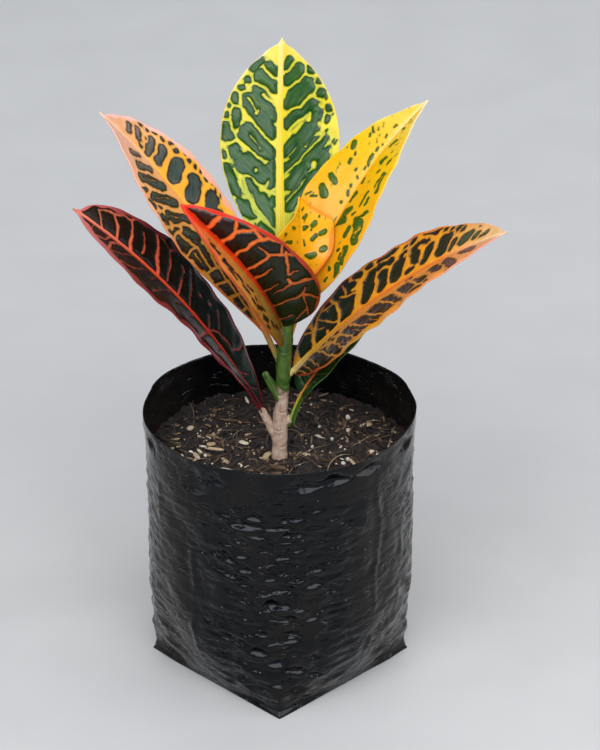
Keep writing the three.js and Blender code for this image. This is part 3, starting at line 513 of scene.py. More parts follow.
def add(tree, name, *values, stops=(), **settings):
    """Adds one node with its settings and links, and gives its output.

    Each value fills the next of the node's sockets, or is linked to it if it is another node's
    output. stops are a colour band's (place, linear colour), from the first to the last.
    """
    kind, sockets, output, fixed = NODES[name]
    node = tree.nodes.new("ShaderNode" + kind)
    for key, value in {**fixed, **settings}.items():
        setattr(node, key, value)
    for key, value in zip(sockets, values):
        if isinstance(value, bpy.types.NodeSocket):
            tree.links.new(value, node.inputs[key])
        else:
            node.inputs[key].default_value = value
    if stops:
        band = node.color_ramp.elements
        band[0].position, band[0].color = stops[0]
        band[1].position, band[1].color = stops[-1]
        for place, colour in stops[1:-1]:
            band.new(place).color = colour
    return node.outputs[output] if node.outputs else None


def new_material(name):
    """An empty node material, its tree and the place on the piece, which patterns are read at."""
    material = bpy.data.materials.new(name)
    material.use_nodes = True
    tree = material.node_tree
    tree.nodes.clear()
    return material, tree, add(tree, "place")


def finish_material(tree, *looks):
    """Wires colour, roughness, relief and IOR, as far as they are given, through one shader."""
    add(tree, "output", add(tree, "skin", *looks))


# ---------------------------------------------------------------- leaves


def leaf_frames(leaf, s):
    """Directions at shares s of the leaf: along it, to its left and out of its upper face.

    Azimuth, rise and roll change evenly from the petiole's base to the tip.
    """
    t = np.clip(s, 0, 1)
    azimuth = np.radians(mix(leaf["azimuth"][0], leaf["azimuth"][1], t))
    rise = np.radians(mix(leaf["rise"][0], leaf["rise"][1], t))
    roll = np.radians(mix(leaf["roll"][0], leaf["roll"][1], t))[:, None]
    along = np.stack([np.cos(rise) * np.cos(azimuth), np.cos(rise) * np.sin(azimuth),
                      np.sin(rise)], -1)
    level = np.stack([-np.sin(azimuth), np.cos(azimuth), 0 * azimuth], -1)
    left = level * np.cos(roll) + np.cross(along, level) * np.sin(roll)
    return along, left, np.cross(along, left)


def leaf_centres(leaf, s, total):
    """The centreline at shares s: the leaf's direction summed in short steps from the stem."""
    attach = leaf["attach"]
    base = np.array([np.interp(attach, STEM[:, 2], STEM[:, k]) for k in (0, 1)] + [attach])
    stand_off = leaf.get("stand_off", 0.9 * np.interp(attach, STEM[:, 2], STEM[:, 3]))
    azimuth = math.radians(leaf["azimuth"][0])
    base += stand_off * np.array([math.cos(azimuth), math.sin(azimuth), 0])
    fine = np.linspace(0, 1, 801)
    along, _, _ = leaf_frames(leaf, (fine[1:] + fine[:-1]) / 2)
    path = np.vstack([base, base + np.cumsum(along * total / 800, axis=0)])
    inside = np.minimum(s, 0)[:, None] * total * leaf_frames(leaf, np.zeros(1))[0]
    return np.stack([np.interp(s, fine, path[:, k]) for k in range(3)], -1) + inside


def leaf_half_width(leaf, u):
    """Half the width: an egg outline with a short drawn-out tip; u runs along the blade."""
    v = np.clip(u / TIP_START, 1e-9, 1 - 1e-9)
    low = leaf["widest"] * leaf["taper"]
    high = (1 - leaf["widest"]) * leaf["taper"]
    body = (v / leaf["widest"]) ** low * ((1 - v) / (1 - leaf["widest"])) ** high
    body = np.where((u > 0) & (u < TIP_START), body, 0)
    cusp = 0.14 * np.clip((1 - u) / 0.05, 0, 1) ** 1.1 * np.clip(u / 0.3, 0, 1)
    half = np.cbrt(body ** 3 + cusp ** 3) * leaf["width"] / 2
    tip = np.clip(half, 0.4, 0.4 + (1 - u) * leaf["blade"] * 1.1)
    return np.where(u < 0.5, np.maximum(half, PETIOLE_RADIUS), tip)


def stroke_distance(p, q, strokes, grow=0.0, gap=0.0):
    """Distance in millimetres to the nearest tapering stroke, negative inside it.

    A stroke spreads by grow where it has room and stops half of gap short of the line midway
    to its neighbour, as a leaf's green cells do between its veins.
    """
    nearest = np.full(p.shape, 50.0)
    second = nearest
    for p0, q0, p1, q1, r0, r1 in strokes:
        dp, dq = p1 - p0, q1 - q0
        share = np.clip(((p - p0) * dp + (q - q0) * dq) / (dp * dp + dq * dq + 1e-9), 0, 1)
        away = np.hypot(p - p0 - share * dp, q - q0 - share * dq) - mix(r0, r1, share)
        second = np.minimum(second, np.maximum(nearest, away))
        nearest = np.minimum(nearest, away)
    midway = (gap - (second - nearest)) / 2
    return np.minimum(nearest, np.maximum(nearest - grow, midway))


def fleck_strokes(leaf):
    """Small seeded dots and dashes at random shares of the half width, leaning to the tip."""
    count, small, large, near, far = leaf["flecks"]
    rng = np.random.default_rng(int(leaf["attach"] * 10))
    u = rng.uniform(0.12, 0.93, count)
    side = rng.choice([-1, 1], count)
    q = side * leaf_half_width(leaf, u) * rng.uniform(near, far, count)
    p = u * leaf["blade"]
    size = rng.uniform(small, large, count)
    dash = rng.uniform(0.2, 2.2, count)
    return np.stack([p, q, p + dash, q + side * dash * 0.7, size, size * 0.7], -1)


def leaf_pattern(leaf, u, share, side):
    """Everything the leaf's colours follow, worked out for each point of a face.

    patch is the distance to the dark fields, rib to the midrib's edge and rim to the coloured
    margin's edge, all in millimetres and negative inside; quilt is how far the blade swells.
    """
    half = leaf_half_width(leaf, u)
    p = u * leaf["blade"]
    q = side * share * half
    place = np.stack([p, q], -1)
    seed = int(leaf["attach"])
    wp = p + 0.45 * ripple(place, 10, seed) + 0.2 * ripple(place, 4, seed + 1)
    wq = q + 0.45 * ripple(place, 10, seed + 2) + 0.2 * ripple(place, 4, seed + 3)
    broad = np.where(side > 0, leaf["rib_width"][0], leaf["rib_width"][1])
    rib = np.abs(q) - broad * (1.05 - 0.62 * u) - 0.12 * ripple(place, 7, seed + 4)
    width = np.where(side > 0, leaf["rim"][0], leaf["rim"][1])
    rim = (1 - share) * half - width * (0.8 + 0.35 * ripple(place, 14, seed + 5))
    patch = stroke_distance(wp, wq, leaf["patches"], leaf["grow"], leaf["gap"])
    flecks = stroke_distance(wp, wq, fleck_strokes(leaf))
    patch = np.maximum(np.minimum(patch, flecks), -stroke_distance(wp, wq, leaf["cuts"]))
    patch = np.maximum(patch, np.maximum(-rib, -rim - 0.2))
    swell = QUILT_SWELL * step(-patch, -0.6, 2.4) + 0.1 * ripple(place, 12, seed + 6)
    quilt = swell * step(rib, 0, 2.5) * step(rim, -1, 2)
    base = p - 0.85 * np.abs(q) - 0.006 * q * q
    flow = np.stack([base, q, np.full_like(p, seed)], -1)
    return {"patch": patch, "rib": rib, "rim": rim, "quilt": quilt, "flow": flow}


def leaf_rings(leaf, edge, quilt_height):
    """Rows of closed sections along the leaf, with what the colours follow at each point.

    Each half lifts from the midrib by its fold and eases outwards. The upper face stands a
    half thickness out of the middle sheet and the underside a half thickness and the rib
    below it; both meet in a rounded margin. Towards the petiole the section closes to a rod.
    """
    total = leaf["petiole"] + leaf["blade"]
    blade_rows = int(leaf["blade"] / BLADE_SPACING)
    petiole_rows = max(4, int(leaf["petiole"] / PETIOLE_SPACING))
    run = np.linspace(0, 1, blade_rows + 1)
    eased = mix(run, 0.5 - 0.5 * np.cos(np.pi * run), 0.35)
    s = np.concatenate([[-ROOT_INSET], np.linspace(0, leaf["petiole"], petiole_rows,
                        endpoint=False), leaf["petiole"] + leaf["blade"] * eased]) / total
    u = np.clip((s * total - leaf["petiole"]) / leaf["blade"], 0, 1)
    half = leaf_half_width(leaf, u)
    rib = mix(PETIOLE_RADIUS, TIP_RIB_RADIUS, u)
    stalk = np.clip((rib / half - 0.12) / 0.6, 0, 1)[:, None]

    columns = int(leaf["width"] / 2 / BLADE_SPACING)
    even = np.linspace(0, 1, columns + 1)
    even = np.append(even, [1 - 0.35 / columns, 1 - 0.12 / columns])
    even = np.sort(even)
    steps = len(even) - 1
    ladder = np.concatenate([even[::-1], even[1:]])
    side = np.concatenate([np.ones(steps + 1), -np.ones(steps)])
    share = mix(ladder, np.sin(np.pi / 2 * ladder), stalk)
    side = np.broadcast_to(side, share.shape)

    centre = leaf_centres(leaf, s, total)[:, None]
    _, left, up = (axis[:, None] for axis in leaf_frames(leaf, s))
    fold = np.radians(np.where(side > 0, leaf["fold"][0], leaf["fold"][1]))
    lift = fold * (1 - 0.3 * share) * (1 - stalk)
    tilt = fold * (1 - 0.6 * share) * (1 - stalk)
    long = np.broadcast_to(u[:, None], share.shape)
    wave = np.sin(2 * np.pi * MARGIN_WAVES * long + side * 0.9 + leaf["attach"])
    wave = MARGIN_WAVE_HEIGHT * share ** 2 * np.sin(np.pi * long) * wave
    ruffle = np.sin(2 * np.pi * leaf["blade"] / RUFFLE_LENGTH * long + side * 2.1 + leaf["attach"])
    wave = wave + RUFFLE_HEIGHT * share ** 4 * np.sin(np.pi * long) * ruffle
    out = half[:, None] * share
    sheet = centre + left * (side * out * np.cos(lift))[..., None]
    sheet = sheet + up * (out * np.sin(lift) + wave)[..., None]
    normal = up * np.cos(tilt)[..., None] - left * (side * np.sin(tilt))[..., None]

    pattern = leaf_pattern(leaf, long, share, side)
    sheet = sheet + normal * (pattern["quilt"] * quilt_height / QUILT_SWELL)[..., None]
    rib = rib[:, None]
    swell = (rib - edge) * np.sqrt(np.clip(1 - (out / rib) ** 2, 0, 1))
    groove = 0.35 * np.exp(-(out / 0.9) ** 2) * (1 - stalk)
    rounded = edge * np.sqrt(np.clip(1 - np.clip((ladder - 1 + 0.5 / columns) * 2 * columns,
                                                 0, 1) ** 2, 0, 1))
    upper = sheet + normal * (rounded + swell * mix(0.2, 1, stalk) - groove)[..., None]
    under = sheet - normal * (rounded + swell)[..., None]

    def both(values):
        return np.concatenate([values, values[:, -2:0:-1]], axis=1)

    rings = np.concatenate([upper, under[:, -2:0:-1]], axis=1)
    values = {key: both(value) for key, value in pattern.items()}
    values["along"] = both(np.broadcast_to(s[:, None], share.shape))
    values["left"] = both((side + 1) / 2)
    values["under"] = np.zeros(rings.shape[:2])
    values["under"][:, share.shape[1]:] = 1
    return rings, values


def leaf_stops(leaf, key, middle):
    """Four colours from the blade's base to its tip, the third the one a user may change."""
    start = leaf["petiole"] / (leaf["petiole"] + leaf["blade"])
    colours = [linear(part) for part in leaf[key].split()]
    if middle is not None:
        colours[2] = list(middle) + [1.0]
    places = [mix(start, 1, share) for share in (0.1, 0.42, 0.7, 0.97)]
    return list(zip(places, colours))


def waxy_leaf_blade(leaf, look, gloss):
    """A living croton blade: a waxy skin over coloured veins and dark green fields.

    The wax gives a clear, slightly broken gloss; the fields swell between sunken veins, the
    smallest veins run in streaks about 1 mm apart with painted shade in the low strips between
    them, and the underside is paler and duller.
    """
    material, tree, place = new_material("waxy_leaf_" + leaf["name"])
    along, patch, rib, rim, left, under = (
        add(tree, "kept", attribute_name=key)
        for key in ("along", "patch", "rib", "rim", "left", "under"))
    fray = add(tree, "range", add(tree, "noise", place, per(1.6), 3), 0.2, 0.8, -0.2, 0.2)
    edge = add(tree, "sum", patch, fray)
    in_field = add(tree, "eased", edge, 0.32, -0.32)
    by_field = add(tree, "eased", edge, 1.1, 0.1, 0, 0.6)
    rib = add(tree, "sum", rib, add(tree, "times", fray, 0.5))
    in_rib = add(tree, "eased", rib, 0.35, -0.35)
    in_rim = add(tree, "eased", add(tree, "sum", rim, fray), 0.5, -0.5)

    def from_base(key, middle=None):
        return add(tree, "band", along, stops=leaf_stops(leaf, key, middle))

    def by_side(key, middle):
        right = from_base(key, middle)
        if "left_" + key not in leaf:
            return right
        return add(tree, "blend", left, right, from_base("left_" + key))

    halo = linear(leaf["halo"])
    cloud = add(tree, "range", add(tree, "noise", place, per(7)), 0.42, 0.7, 0, 0.25)
    vein = add(tree, "blend", cloud, by_side("vein", look.veins), halo)
    vein = add(tree, "blend", by_field, vein, halo)
    margin = add(tree, "blend", left, from_base("right"), from_base("left"))
    stalk_end = leaf["petiole"] / (leaf["petiole"] + leaf["blade"])
    rib_stops = [(0.35 * stalk_end, linear(leaf["stalk"])), *leaf_stops(leaf, "rib", look.midrib)]
    midrib = add(tree, "band", along, stops=rib_stops)

    flow = add(tree, "kept vector", attribute_name="flow")
    streak = add(tree, "noise", add(tree, "stretched", flow, (0.9, 0.16, 1.0)), 1.1, 4.0, 0.62)
    veinlets = add(tree, "range", streak, 0.5, 0.72, 0, leaf["streak"])
    field = add(tree, "blend", veinlets, by_side("patch", look.patches), vein)
    # painted shade: the low strips between the pale veinlets, which the bump sinks, are darkened towards
    # near black
    hollow_shade = add(tree, "range", streak, 0.3, 0.48, 0.4, 0)
    field = add(tree, "blend", hollow_shade, field, linear("#0a1206"))
    dark_edge, strength, breadth = leaf["brim"]
    inside = add(tree, "eased", edge, -breadth, -0.2, 0, strength)
    field = add(tree, "blend", inside, field, linear(dark_edge))

    colour = add(tree, "blend", in_rim, vein, margin)
    colour = add(tree, "blend", in_field, colour, field)
    colour = add(tree, "blend", in_rib, colour, midrib)
    backside = add(tree, "blend", 0.62, colour, linear(leaf["under"]))
    colour = add(tree, "blend", under, colour, backside)

    rough = add(tree, "noise", place, per(5), 3)
    rough = add(tree, "range", rough, 0.3, 0.7, gloss - 0.05, gloss + 0.09)
    rough = add(tree, "sum", rough, add(tree, "times", under, 0.22))
    sunk = add(tree, "eased", edge, 0.5, -0.9)
    grain = add(tree, "times", streak, 0.16)
    pores = add(tree, "times", add(tree, "noise", place, per(0.7)), 0.12)
    height = add(tree, "sum", add(tree, "sum", sunk, grain), pores)
    bump = add(tree, "bump", 0.7, 0.32 * MM, height)
    finish_material(tree, colour, rough, bump, leaf.get("wax", 1.34))
    return material


def build_leaf(leaf, look, plant):
    """One leaf with its petiole, from inside the stem to its tip."""
    rings, values = leaf_rings(leaf, plant.leaf_edge / MM / 2, plant.quilting / MM)
    points, faces = closed_rings(rings)
    flat = {key: value.reshape(-1, value.shape[-1]) if value.ndim == 3 else value.ravel()
            for key, value in values.items()}
    for key in flat:
        rows = values[key]
        ends = np.stack([rows[0].mean(0), rows[-1].mean(0)])
        flat[key] = np.concatenate([flat[key], ends])
    flat.pop("quilt")
    material = waxy_leaf_blade(leaf, look, plant.leaf_gloss)
    piece = make_piece(leaf["name"] + "_blade", points, faces, material, flat)
    settle(piece, leaf["name"])


# ---------------------------------------------------------------- bag


def bag_row(z, column):
    """A column of the bag's rows read at height z, eased over 6 mm so no row shows as a kink."""
    total = sum(np.interp(z + shift, BAG_ROWS[:, 0], BAG_ROWS[:, column])
                for shift in (-3, -1.5, 0, 1.5, 3))
    return total / 5


def ring(angle, radius, z):
    """A ring of points at the angles given, with one radius and height or one for each."""
    return np.stack([radius * np.cos(angle), radius * np.sin(angle), z + 0 * angle], -1)


def bag_radius(angle, z):
    """The plain lofted shell: |cos|^n + |sin|^n = 1 scaled to the corner radius."""
    n = bag_row(z, 2)
    return bag_row(z, 1) / (np.abs(np.cos(angle)) ** n + np.abs(np.sin(angle)) ** n) ** (1 / n)


def film_offset(angle, z, bag):
    """How far the film stands out of the plain shell, in millimetres.

    The sum of slow dents, sharp upright lines where the gussets were pressed, crossing crinkles,
    staggered buckles over the corners, each a dent under a facet that looks up, a pinched flap
    at each foot and flat folds that lean in under the rim.
    """
    crinkle = bag.crinkle / MM
    around = WALL_RADIUS * angle
    place = ring(angle, WALL_RADIUS, z)
    free = step(z, SOIL_SURFACE - 4, SOIL_SURFACE + 10)
    low = 1 - step(z, 5, 18)
    dents = 0.7 * ripple(place * (1, 1, 0.7), 50, 11) + 0.3 * ripple(place, 21, 12)

    upright = np.zeros_like(dents)
    half_round = WALL_RADIUS * np.pi
    for k, (degrees, height) in enumerate(UPRIGHT_FOLDS):
        level = np.stack([z, 0 * z], -1)
        wander = 1.4 * ripple(level, 46, 40 + k) + 0.5 * ripple(level, 15, 50 + k)
        away = around - WALL_RADIUS * math.radians(degrees) + wander + half_round
        away = np.abs(away % (2 * half_round) - half_round)
        fade = np.clip(0.6 + 0.7 * ripple(level, 40, 60 + k), 0.05, 1.2)
        upright += height * fade * (np.exp(-away / 1.4) - 0.5 * np.exp(-((away - 4) / 3) ** 2))
    upright = upright * step(z, 8, 40) * (1 - 0.7 * free)

    broad = creases(place, 30, 3, 8, (1, 1, 1.4)) - 0.5
    fine = creases(place, 14, 4, 9, (1, 1, 2.2)) - 0.5
    finer = creases(place, 8, 5, 9, (1, 1, 2.6)) - 0.5
    crossed = crinkle * (3.4 * broad + 2.1 * fine + 1.1 * finer) * mix(1, 0.55, free)

    quarter = np.round(angle / (np.pi / 2))
    front_back = mix(0.35, 1.0, np.abs(np.sin(quarter * np.pi / 2)))
    off = WALL_RADIUS * (angle - quarter * np.pi / 2)
    by_corner = np.exp(-(off / 42) ** 4)
    patchy = np.clip(0.95 + 0.5 * ripple(place * (1, 1, 2.4), 22, 23), 0.3, 1.2)
    dented = np.zeros_like(dents)
    cover = np.zeros_like(dents)
    for kind, (pitch, wide, tall, depth, grow, die) in enumerate(BUCKLES):
        held = by_corner * front_back * step(z, *grow) * (1 - step(z, *die))
        cover = np.maximum(cover, held)
        for row in (0, 1):
            seed = 24 + 4 * kind + row
            across = (off + 0.26 * wide * ripple(place * (1, 1, 0.5), 1.8 * wide, seed)) / wide
            across = np.abs(2 * (across + row / 2 - np.floor(across + row / 2)) - 1)
            level = z / pitch + row / 2 + 0.17 * ripple(place * (1, 1, 0.5), 1.6 * wide, seed + 2)
            level = (level - np.floor(level)) * pitch - tall
            slope = np.where(level < 0, -level / (tall * patchy), level / (pitch - tall))
            dip = np.clip(np.clip(1.3 - 1.3 * across, 0, 1) - slope, 0, 1)
            dented += depth * (bag.buckles / MM) * patchy * held * (0.4 - dip)
    flap = np.interp(z, (0.4, 3.6, 14), (0.3, -2.4, 0)) * np.exp(-(off / 30) ** 4)
    flap -= 1.3 * (1 - front_back) / 0.65 * np.exp(-(z / 9) ** 2) * np.exp(-(off / 10) ** 2)
    rim = 0.35 * ripple(place * (1, 1, 0.3), 40, 31) * step(z, 140, 156)
    for degrees, level, width, height, drop in RIM_FOLDS:
        away = WALL_RADIUS * (angle - math.radians(degrees) + np.pi) % (2 * half_round) - half_round
        above = np.where(z < level, (level - z) / height, (z - level) / (RIM_FOLDS_END - level))
        rim -= drop * np.clip(np.clip(1.2 * (1 - np.abs(away) / width), 0, 1) - above, 0, 1)
    body = (dents + crossed + upright) * (1 - 0.85 * low) * (1 - 0.6 * cover)
    return np.clip(body + dented + flap, *FILM_RELIEF) + rim


def build_bag(bag):
    """The bag as one shell of rings: flat base, film wall, rounded rim and the inner face.

    The rim dips by up to 0.9 mm in slow waves that fade out 36 mm further down. Below the soil
    the inner face, which nothing shows, stands further in and is plain.
    """
    film = bag.film / MM
    columns = 360
    sag_start = 120
    hidden_wall = 4.5
    angle = np.linspace(0, 2 * np.pi, columns, endpoint=False)
    wall = np.concatenate([[0.0, 0.25, 0.8, 1.5, 2.2], np.linspace(2.9, BAG_HEIGHT, 224)])
    rim = [(0.18, 0.12), (0.36, 0.02), (0.55, -0.5)]
    inner = np.linspace(BAG_HEIGHT - 1.4, SOIL_SURFACE - 6, 26)
    buried = np.array([118, 90, 60, 30, 12, 4.0])

    def outside(z):
        level = np.full(columns, z)
        return bag_radius(angle, level) + film_offset(angle, level, bag)

    foot = outside(0.0)
    rows = [ring(angle, foot * share, 0) for share in (0.3, 0.65, 0.9, 0.985)]
    for z in wall:
        pull = 0.9 * math.exp(-z / 0.5)
        rows.append(ring(angle, outside(z) - pull, z))
    place = ring(angle, WALL_RADIUS, 0)[:, :2]
    wavy = -0.9 * np.clip(0.45 + 0.55 * ripple(place, 52, 71), 0, 1)
    for row in rows[-40:]:
        share = (row[:, 2] - sag_start) / (BAG_HEIGHT - sag_start)
        row[:, 2] += wavy * np.clip(share, 0, 1) ** 2
    top = outside(BAG_HEIGHT)
    for inward, rise in rim:
        rows.append(ring(angle, top - inward * film / 0.55, BAG_HEIGHT + wavy + rise * 0.2))
    for z in inner:
        share = np.clip((z - sag_start) / (BAG_HEIGHT - sag_start), 0, 1) ** 2
        rows.append(ring(angle, outside(z) - film, z + wavy * share))
    rows += [ring(angle, bag_radius(angle, z) - hidden_wall, z) for z in buried]
    floor = bag_radius(angle, buried[-1]) - hidden_wall
    rows += [ring(angle, floor * share, 2.0) for share in (0.5, 0.1)]
    points, faces = closed_rings(np.stack(rows))
    settle(make_piece("bag_film", points, faces, black_polythene_film(bag)), "bag")


def black_polythene_film(bag):
    """Blown black LDPE film: glossy, easily crinkled, dulled in places by dust.

    Pressed creases up to a quarter of a millimetre deep and 12 to 26 mm apart break its
    reflections into slivers, and grains of dry soil about half a millimetre across cling to it.
    Towards its left and right sides the dust colour is also painted on as a reflection of the
    brown ground.
    """
    material, tree, place = new_material("blown_black_polythene_film")
    bent = add(tree, "noise", place, per(12), 1.0).node.outputs["Color"]
    moved = add(tree, "vector sum", place, add(tree, "vector scaled", bent, 7 * MM))
    relief = 0.0
    for size, lean, depth in FILM_CREASES:
        pressed = add(tree, "vector times", add(tree, "leaned", moved, lean), (1, 1, 2.6))
        away = add(tree, "less", add(tree, "noise", pressed, per(size), 1.0), 0.5)
        crease = add(tree, "range", add(tree, "unsigned", away), 0, 0.05, -depth * MM, 0)
        relief = add(tree, "sum", crease, relief)
    loose = add(tree, "range", add(tree, "noise", place, per(14)), 0.42, 0.56)
    bump = add(tree, "bump", 1.0, 1.0, add(tree, "times", relief, loose))

    sideways = add(tree, "unsigned", add(tree, "parts", place))
    # painted reflection: past 42 mm to either side the film turns towards the dust colour, standing for the
    # brown ground mirrored at a grazing angle; the noise part is real dust
    dust_and_side_reflection = add(tree, "range", add(tree, "noise", place, per(22), 4), 0.45, 0.75, 0, 0.3)
    dust_and_side_reflection = add(tree, "sum", dust_and_side_reflection, add(tree, "range", sideways, 0.042, 0.066, 0, 0.45))
    colour = add(tree, "blend", dust_and_side_reflection, opaque(bag.film_colour), opaque(bag.dust_and_reflection_colour))
    cells = add(tree, "cells", place, per(2.6))
    chosen = add(tree, "range", add(tree, "channels", cells.node.outputs["Color"]), 0.9, 0.91)
    grain = add(tree, "times", add(tree, "range", cells, 0.12, 0.09), chosen)
    colour = add(tree, "blend", grain, colour, linear("#9a8a72"))
    rough = add(tree, "range", add(tree, "noise", place, per(12), 4), 0.35, 0.75, 0.08, 0.22)
    rough = add(tree, "sum", rough, add(tree, "times", grain, 0.5))
    finish_material(tree, colour, rough, bump, 1.28)
    return material


# ---------------------------------------------------------------- soil


def bed_height(x, y):
    """The bed without its crumbs: level, with crossed waves of three lengths."""
    coarse = np.sin(x * 0.16 + 1.3) * np.cos(y * 0.19 - 0.4)
    middle = np.sin(x * 0.31 - y * 0.27 + 0.8) * np.cos(x * 0.22 + y * 0.35)
    small = np.sin(x * 0.43 + y * 0.17 + 2.1) * np.cos(y * 0.46 - x * 0.12)
    return SOIL_SURFACE + SOIL_LUMPS * (0.4 * coarse + 0.3 * middle + 0.3 * small)


def soil_height(x, y):
    """The bed's height with small clods and crumbs on its lumps."""
    place = np.stack([x, y], -1)
    clods = 0.55 * ripple(place, 8, 81) + 0.5 * np.abs(ripple(place, 5, 82))
    crumbs = 0.5 * np.abs(ripple(place, 2.6, 83)) + 0.28 * ripple(place, 1.7, 84)
    return bed_height(x, y) + clods + crumbs - 0.5


def build_soil(soil, bag):
    """The potting mix, as rings: sides that follow the bag's inner wall and a lumpy top."""
    columns = 420
    angle = np.linspace(0, 2 * np.pi, columns, endpoint=False)
    clear_of_bag = 5.2
    floor = bag_radius(angle, 5.0) - 3.2
    rows = [ring(angle, floor * share, 2.4) for share in (0.2, 0.9)]
    for z in (5.0, 20.0, 45.0, 80.0, 110.0):
        rows.append(ring(angle, bag_radius(angle, z) - clear_of_bag, z))
    level = np.full(columns, SOIL_SURFACE)
    edge = bag_radius(angle, level) + film_offset(angle, level, bag) - bag.film / MM * 0.8
    rows.append(ring(angle, edge - 0.8, SOIL_SURFACE - 4))
    for share in np.linspace(1, 0.012, 170):
        x = edge * share * np.cos(angle)
        y = edge * share * np.sin(angle)
        rows.append(np.stack([x, y, soil_height(x, y)], -1))
    points, faces = closed_rings(np.stack(rows))
    piece = make_piece("soil_bed", points, faces, moist_peat_mix(soil))
    settle(piece, "soil")


def moist_peat_mix(soil):
    """Moist peat and composted bark: dark brown crumbs 1 to 3 mm across, matt, with painted
    shade in the pores between them.
    """
    material, tree, place = new_material("moist_peat_and_bark_mix")
    crumb = add(tree, "cells", place, per(2.2))
    fine = add(tree, "noise", place, per(0.9), 4, 0.65)
    barky = add(tree, "channels", crumb.node.outputs["Color"])
    barky = add(tree, "range", barky, 0.55, 1.0, 0, 0.7)
    colour = add(tree, "blend", barky, opaque(soil.soil_colour), linear("#4a3020"))
    # painted shade: the pores between the crumbs, low in the bump, are darkened towards black
    pores = add(tree, "range", fine, 0.35, 0.6, 0.8, 0)
    colour = add(tree, "blend", pores, colour, linear("#0c0907"))
    height = add(tree, "sum", add(tree, "times", fine, 0.8), crumb)
    finish_material(tree, colour, 0.88, add(tree, "bump", 0.8, 0.7 * MM, height))
    return material


def turned(count, rng, tilt):
    """Random axes for loose bits: a heading, a side and an upright, tilted a little."""
    yaw = rng.uniform(0, 2 * np.pi, count)
    pitch = rng.normal(0, tilt, count)
    bank = rng.normal(0, tilt * 1.5, count)
    ahead = np.stack([np.cos(yaw) * np.cos(pitch), np.sin(yaw) * np.cos(pitch),
                      np.sin(pitch)], -1)
    level = np.stack([-np.sin(yaw), np.cos(yaw), 0 * yaw], -1)
    upright = np.cross(ahead, level)
    side = level * np.cos(bank)[:, None] + upright * np.sin(bank)[:, None]
    return ahead, side, np.cross(ahead, side)


def loose_mesh(name, points, tones, material):
    """Many short closed rods as one mesh: points for each bit, section and corner, in mm."""
    count, sections, sides = points.shape[:3]
    ends = points.mean(2)[:, [0, -1]]
    each = sections * sides + 2
    vertices = np.concatenate([points.reshape(count, -1, 3), ends], 1).reshape(-1, 3)
    shift = (np.arange(count) * each)[:, None, None]
    blocks = [grid_faces(sections, sides), fan_faces(0, sides, sections * sides, False),
              fan_faces((sections - 1) * sides, sides, sections * sides + 1, True)]
    faces = [(block[None] + shift).reshape(-1, block.shape[1]) for block in blocks]
    piece = make_piece(name, vertices, faces, material, {"tone": np.repeat(tones, each)})
    settle(piece, None)


def rods(rng, girth, sizes, sides, rough):
    """How far the corners of many short rods lie along, across and over their middles.

    sizes are each rod's length, width and thickness, girth is the share of them at each section,
    and every corner is moved at random by the share called rough.
    """
    run = np.linspace(-1, 1, len(girth))[:, None]
    turn = np.linspace(0, 2 * np.pi, sides, endpoint=False)
    jitter = 1 + rough * rng.uniform(-1, 1, (len(sizes), len(girth), sides))
    length, width, height = (sizes[:, k, None, None] / 2 for k in range(3))
    across = girth[:, None] * np.cos(turn) * jitter * width
    over = girth[:, None] * np.sin(turn) * jitter * height
    return run * length * np.ones_like(jitter), across, over


def scatter(name, places, sizes, tones, rng, tilt, sections, sides, rough, material, bow=0.0):
    """Loose bits as one mesh: each a short closed rod of a few sections, uneven and bowed.

    The rod's girth follows a half ellipse along its length, and bow bends it.
    """
    count = len(places)
    ahead, side, upright = turned(count, rng, tilt)
    t = np.linspace(-1, 1, sections)
    girth = np.sqrt(np.clip(1 - (np.abs(t) * 0.93) ** 2.6, 0.05, 1))
    run, across, over = rods(rng, girth, sizes, sides, rough)
    bend = bow * rng.normal(size=(count, 1)) * (1 - t ** 2) * sizes[:, :1]
    lift = bow * 0.5 * rng.normal(size=(count, 1)) * (1 - t ** 2) * sizes[:, :1]
    points = (places[:, None, None] + ahead[:, None, None] * run[..., None]
              + side[:, None, None] * (across + bend[..., None])[..., None]
              + upright[:, None, None] * (over + lift[..., None])[..., None])
    loose_mesh(name, points, tones, material)


def on_soil(count, rng, reach=69.5, lift=0.4):
    """Random places on the bed, none of them inside the stem."""
    radius = reach * np.sqrt(rng.uniform(0.008, 1, count))
    angle = rng.uniform(0, 2 * np.pi, count)
    x = radius * np.cos(angle)
    y = radius * np.sin(angle) - 0.2
    close = np.hypot(x, y + 4) < 6.5
    x = np.where(close, x + 12, x)
    return np.stack([x, y, soil_height(x, y) + lift], -1)


def dry_bits(name, stops, rough, grain):
    """Loose mineral or woody bits, each its own tone, with grain of the size given and painted
    shade in the grain's hollows.
    """
    material, tree, place = new_material(name)
    stops = [(at, linear(value)) for at, value in stops]
    colour = add(tree, "band", add(tree, "kept", attribute_name="tone"), stops=stops)
    fine = add(tree, "noise", place, per(grain), 4, 0.6)
    # painted shade: the grain's low parts, which the bump sinks, are darkened
    hollow_shade = add(tree, "range", fine, 0.3, 0.6, 0.55, 0)
    colour = add(tree, "blend", hollow_shade, colour, linear("#2a1c12"))
    finish_material(tree, colour, rough, add(tree, "bump", 0.5, 0.2 * MM, fine))
    return material


# Pale bits big enough to know by sight, seen from the front: x, y, length, width, turn in degrees.
CHIPS = [
    (-7.2, -6.5, 9.0, 3.6, 68), (50, -3.5, 5.2, 3.4, 40), (-35, 22, 9.5, 2.6, 52),
    (-43, 14, 10, 2.6, -55), (-20, 8, 6, 3.2, -30), (-38, 4, 5, 4, 20), (-46, -7, 8, 2.8, -65),
    (-30, -11, 7.5, 2.8, -60), (-28, -24, 9.5, 2.2, -25), (15, -7, 6, 2.6, -35), (48, 27, 7, 4, 30),
    (-50, 22, 5, 3.4, 70), (40, -13, 9, 1.8, -65), (-17, -29, 5, 4, 15), (-36, -2, 11, 2.4, -12),
]
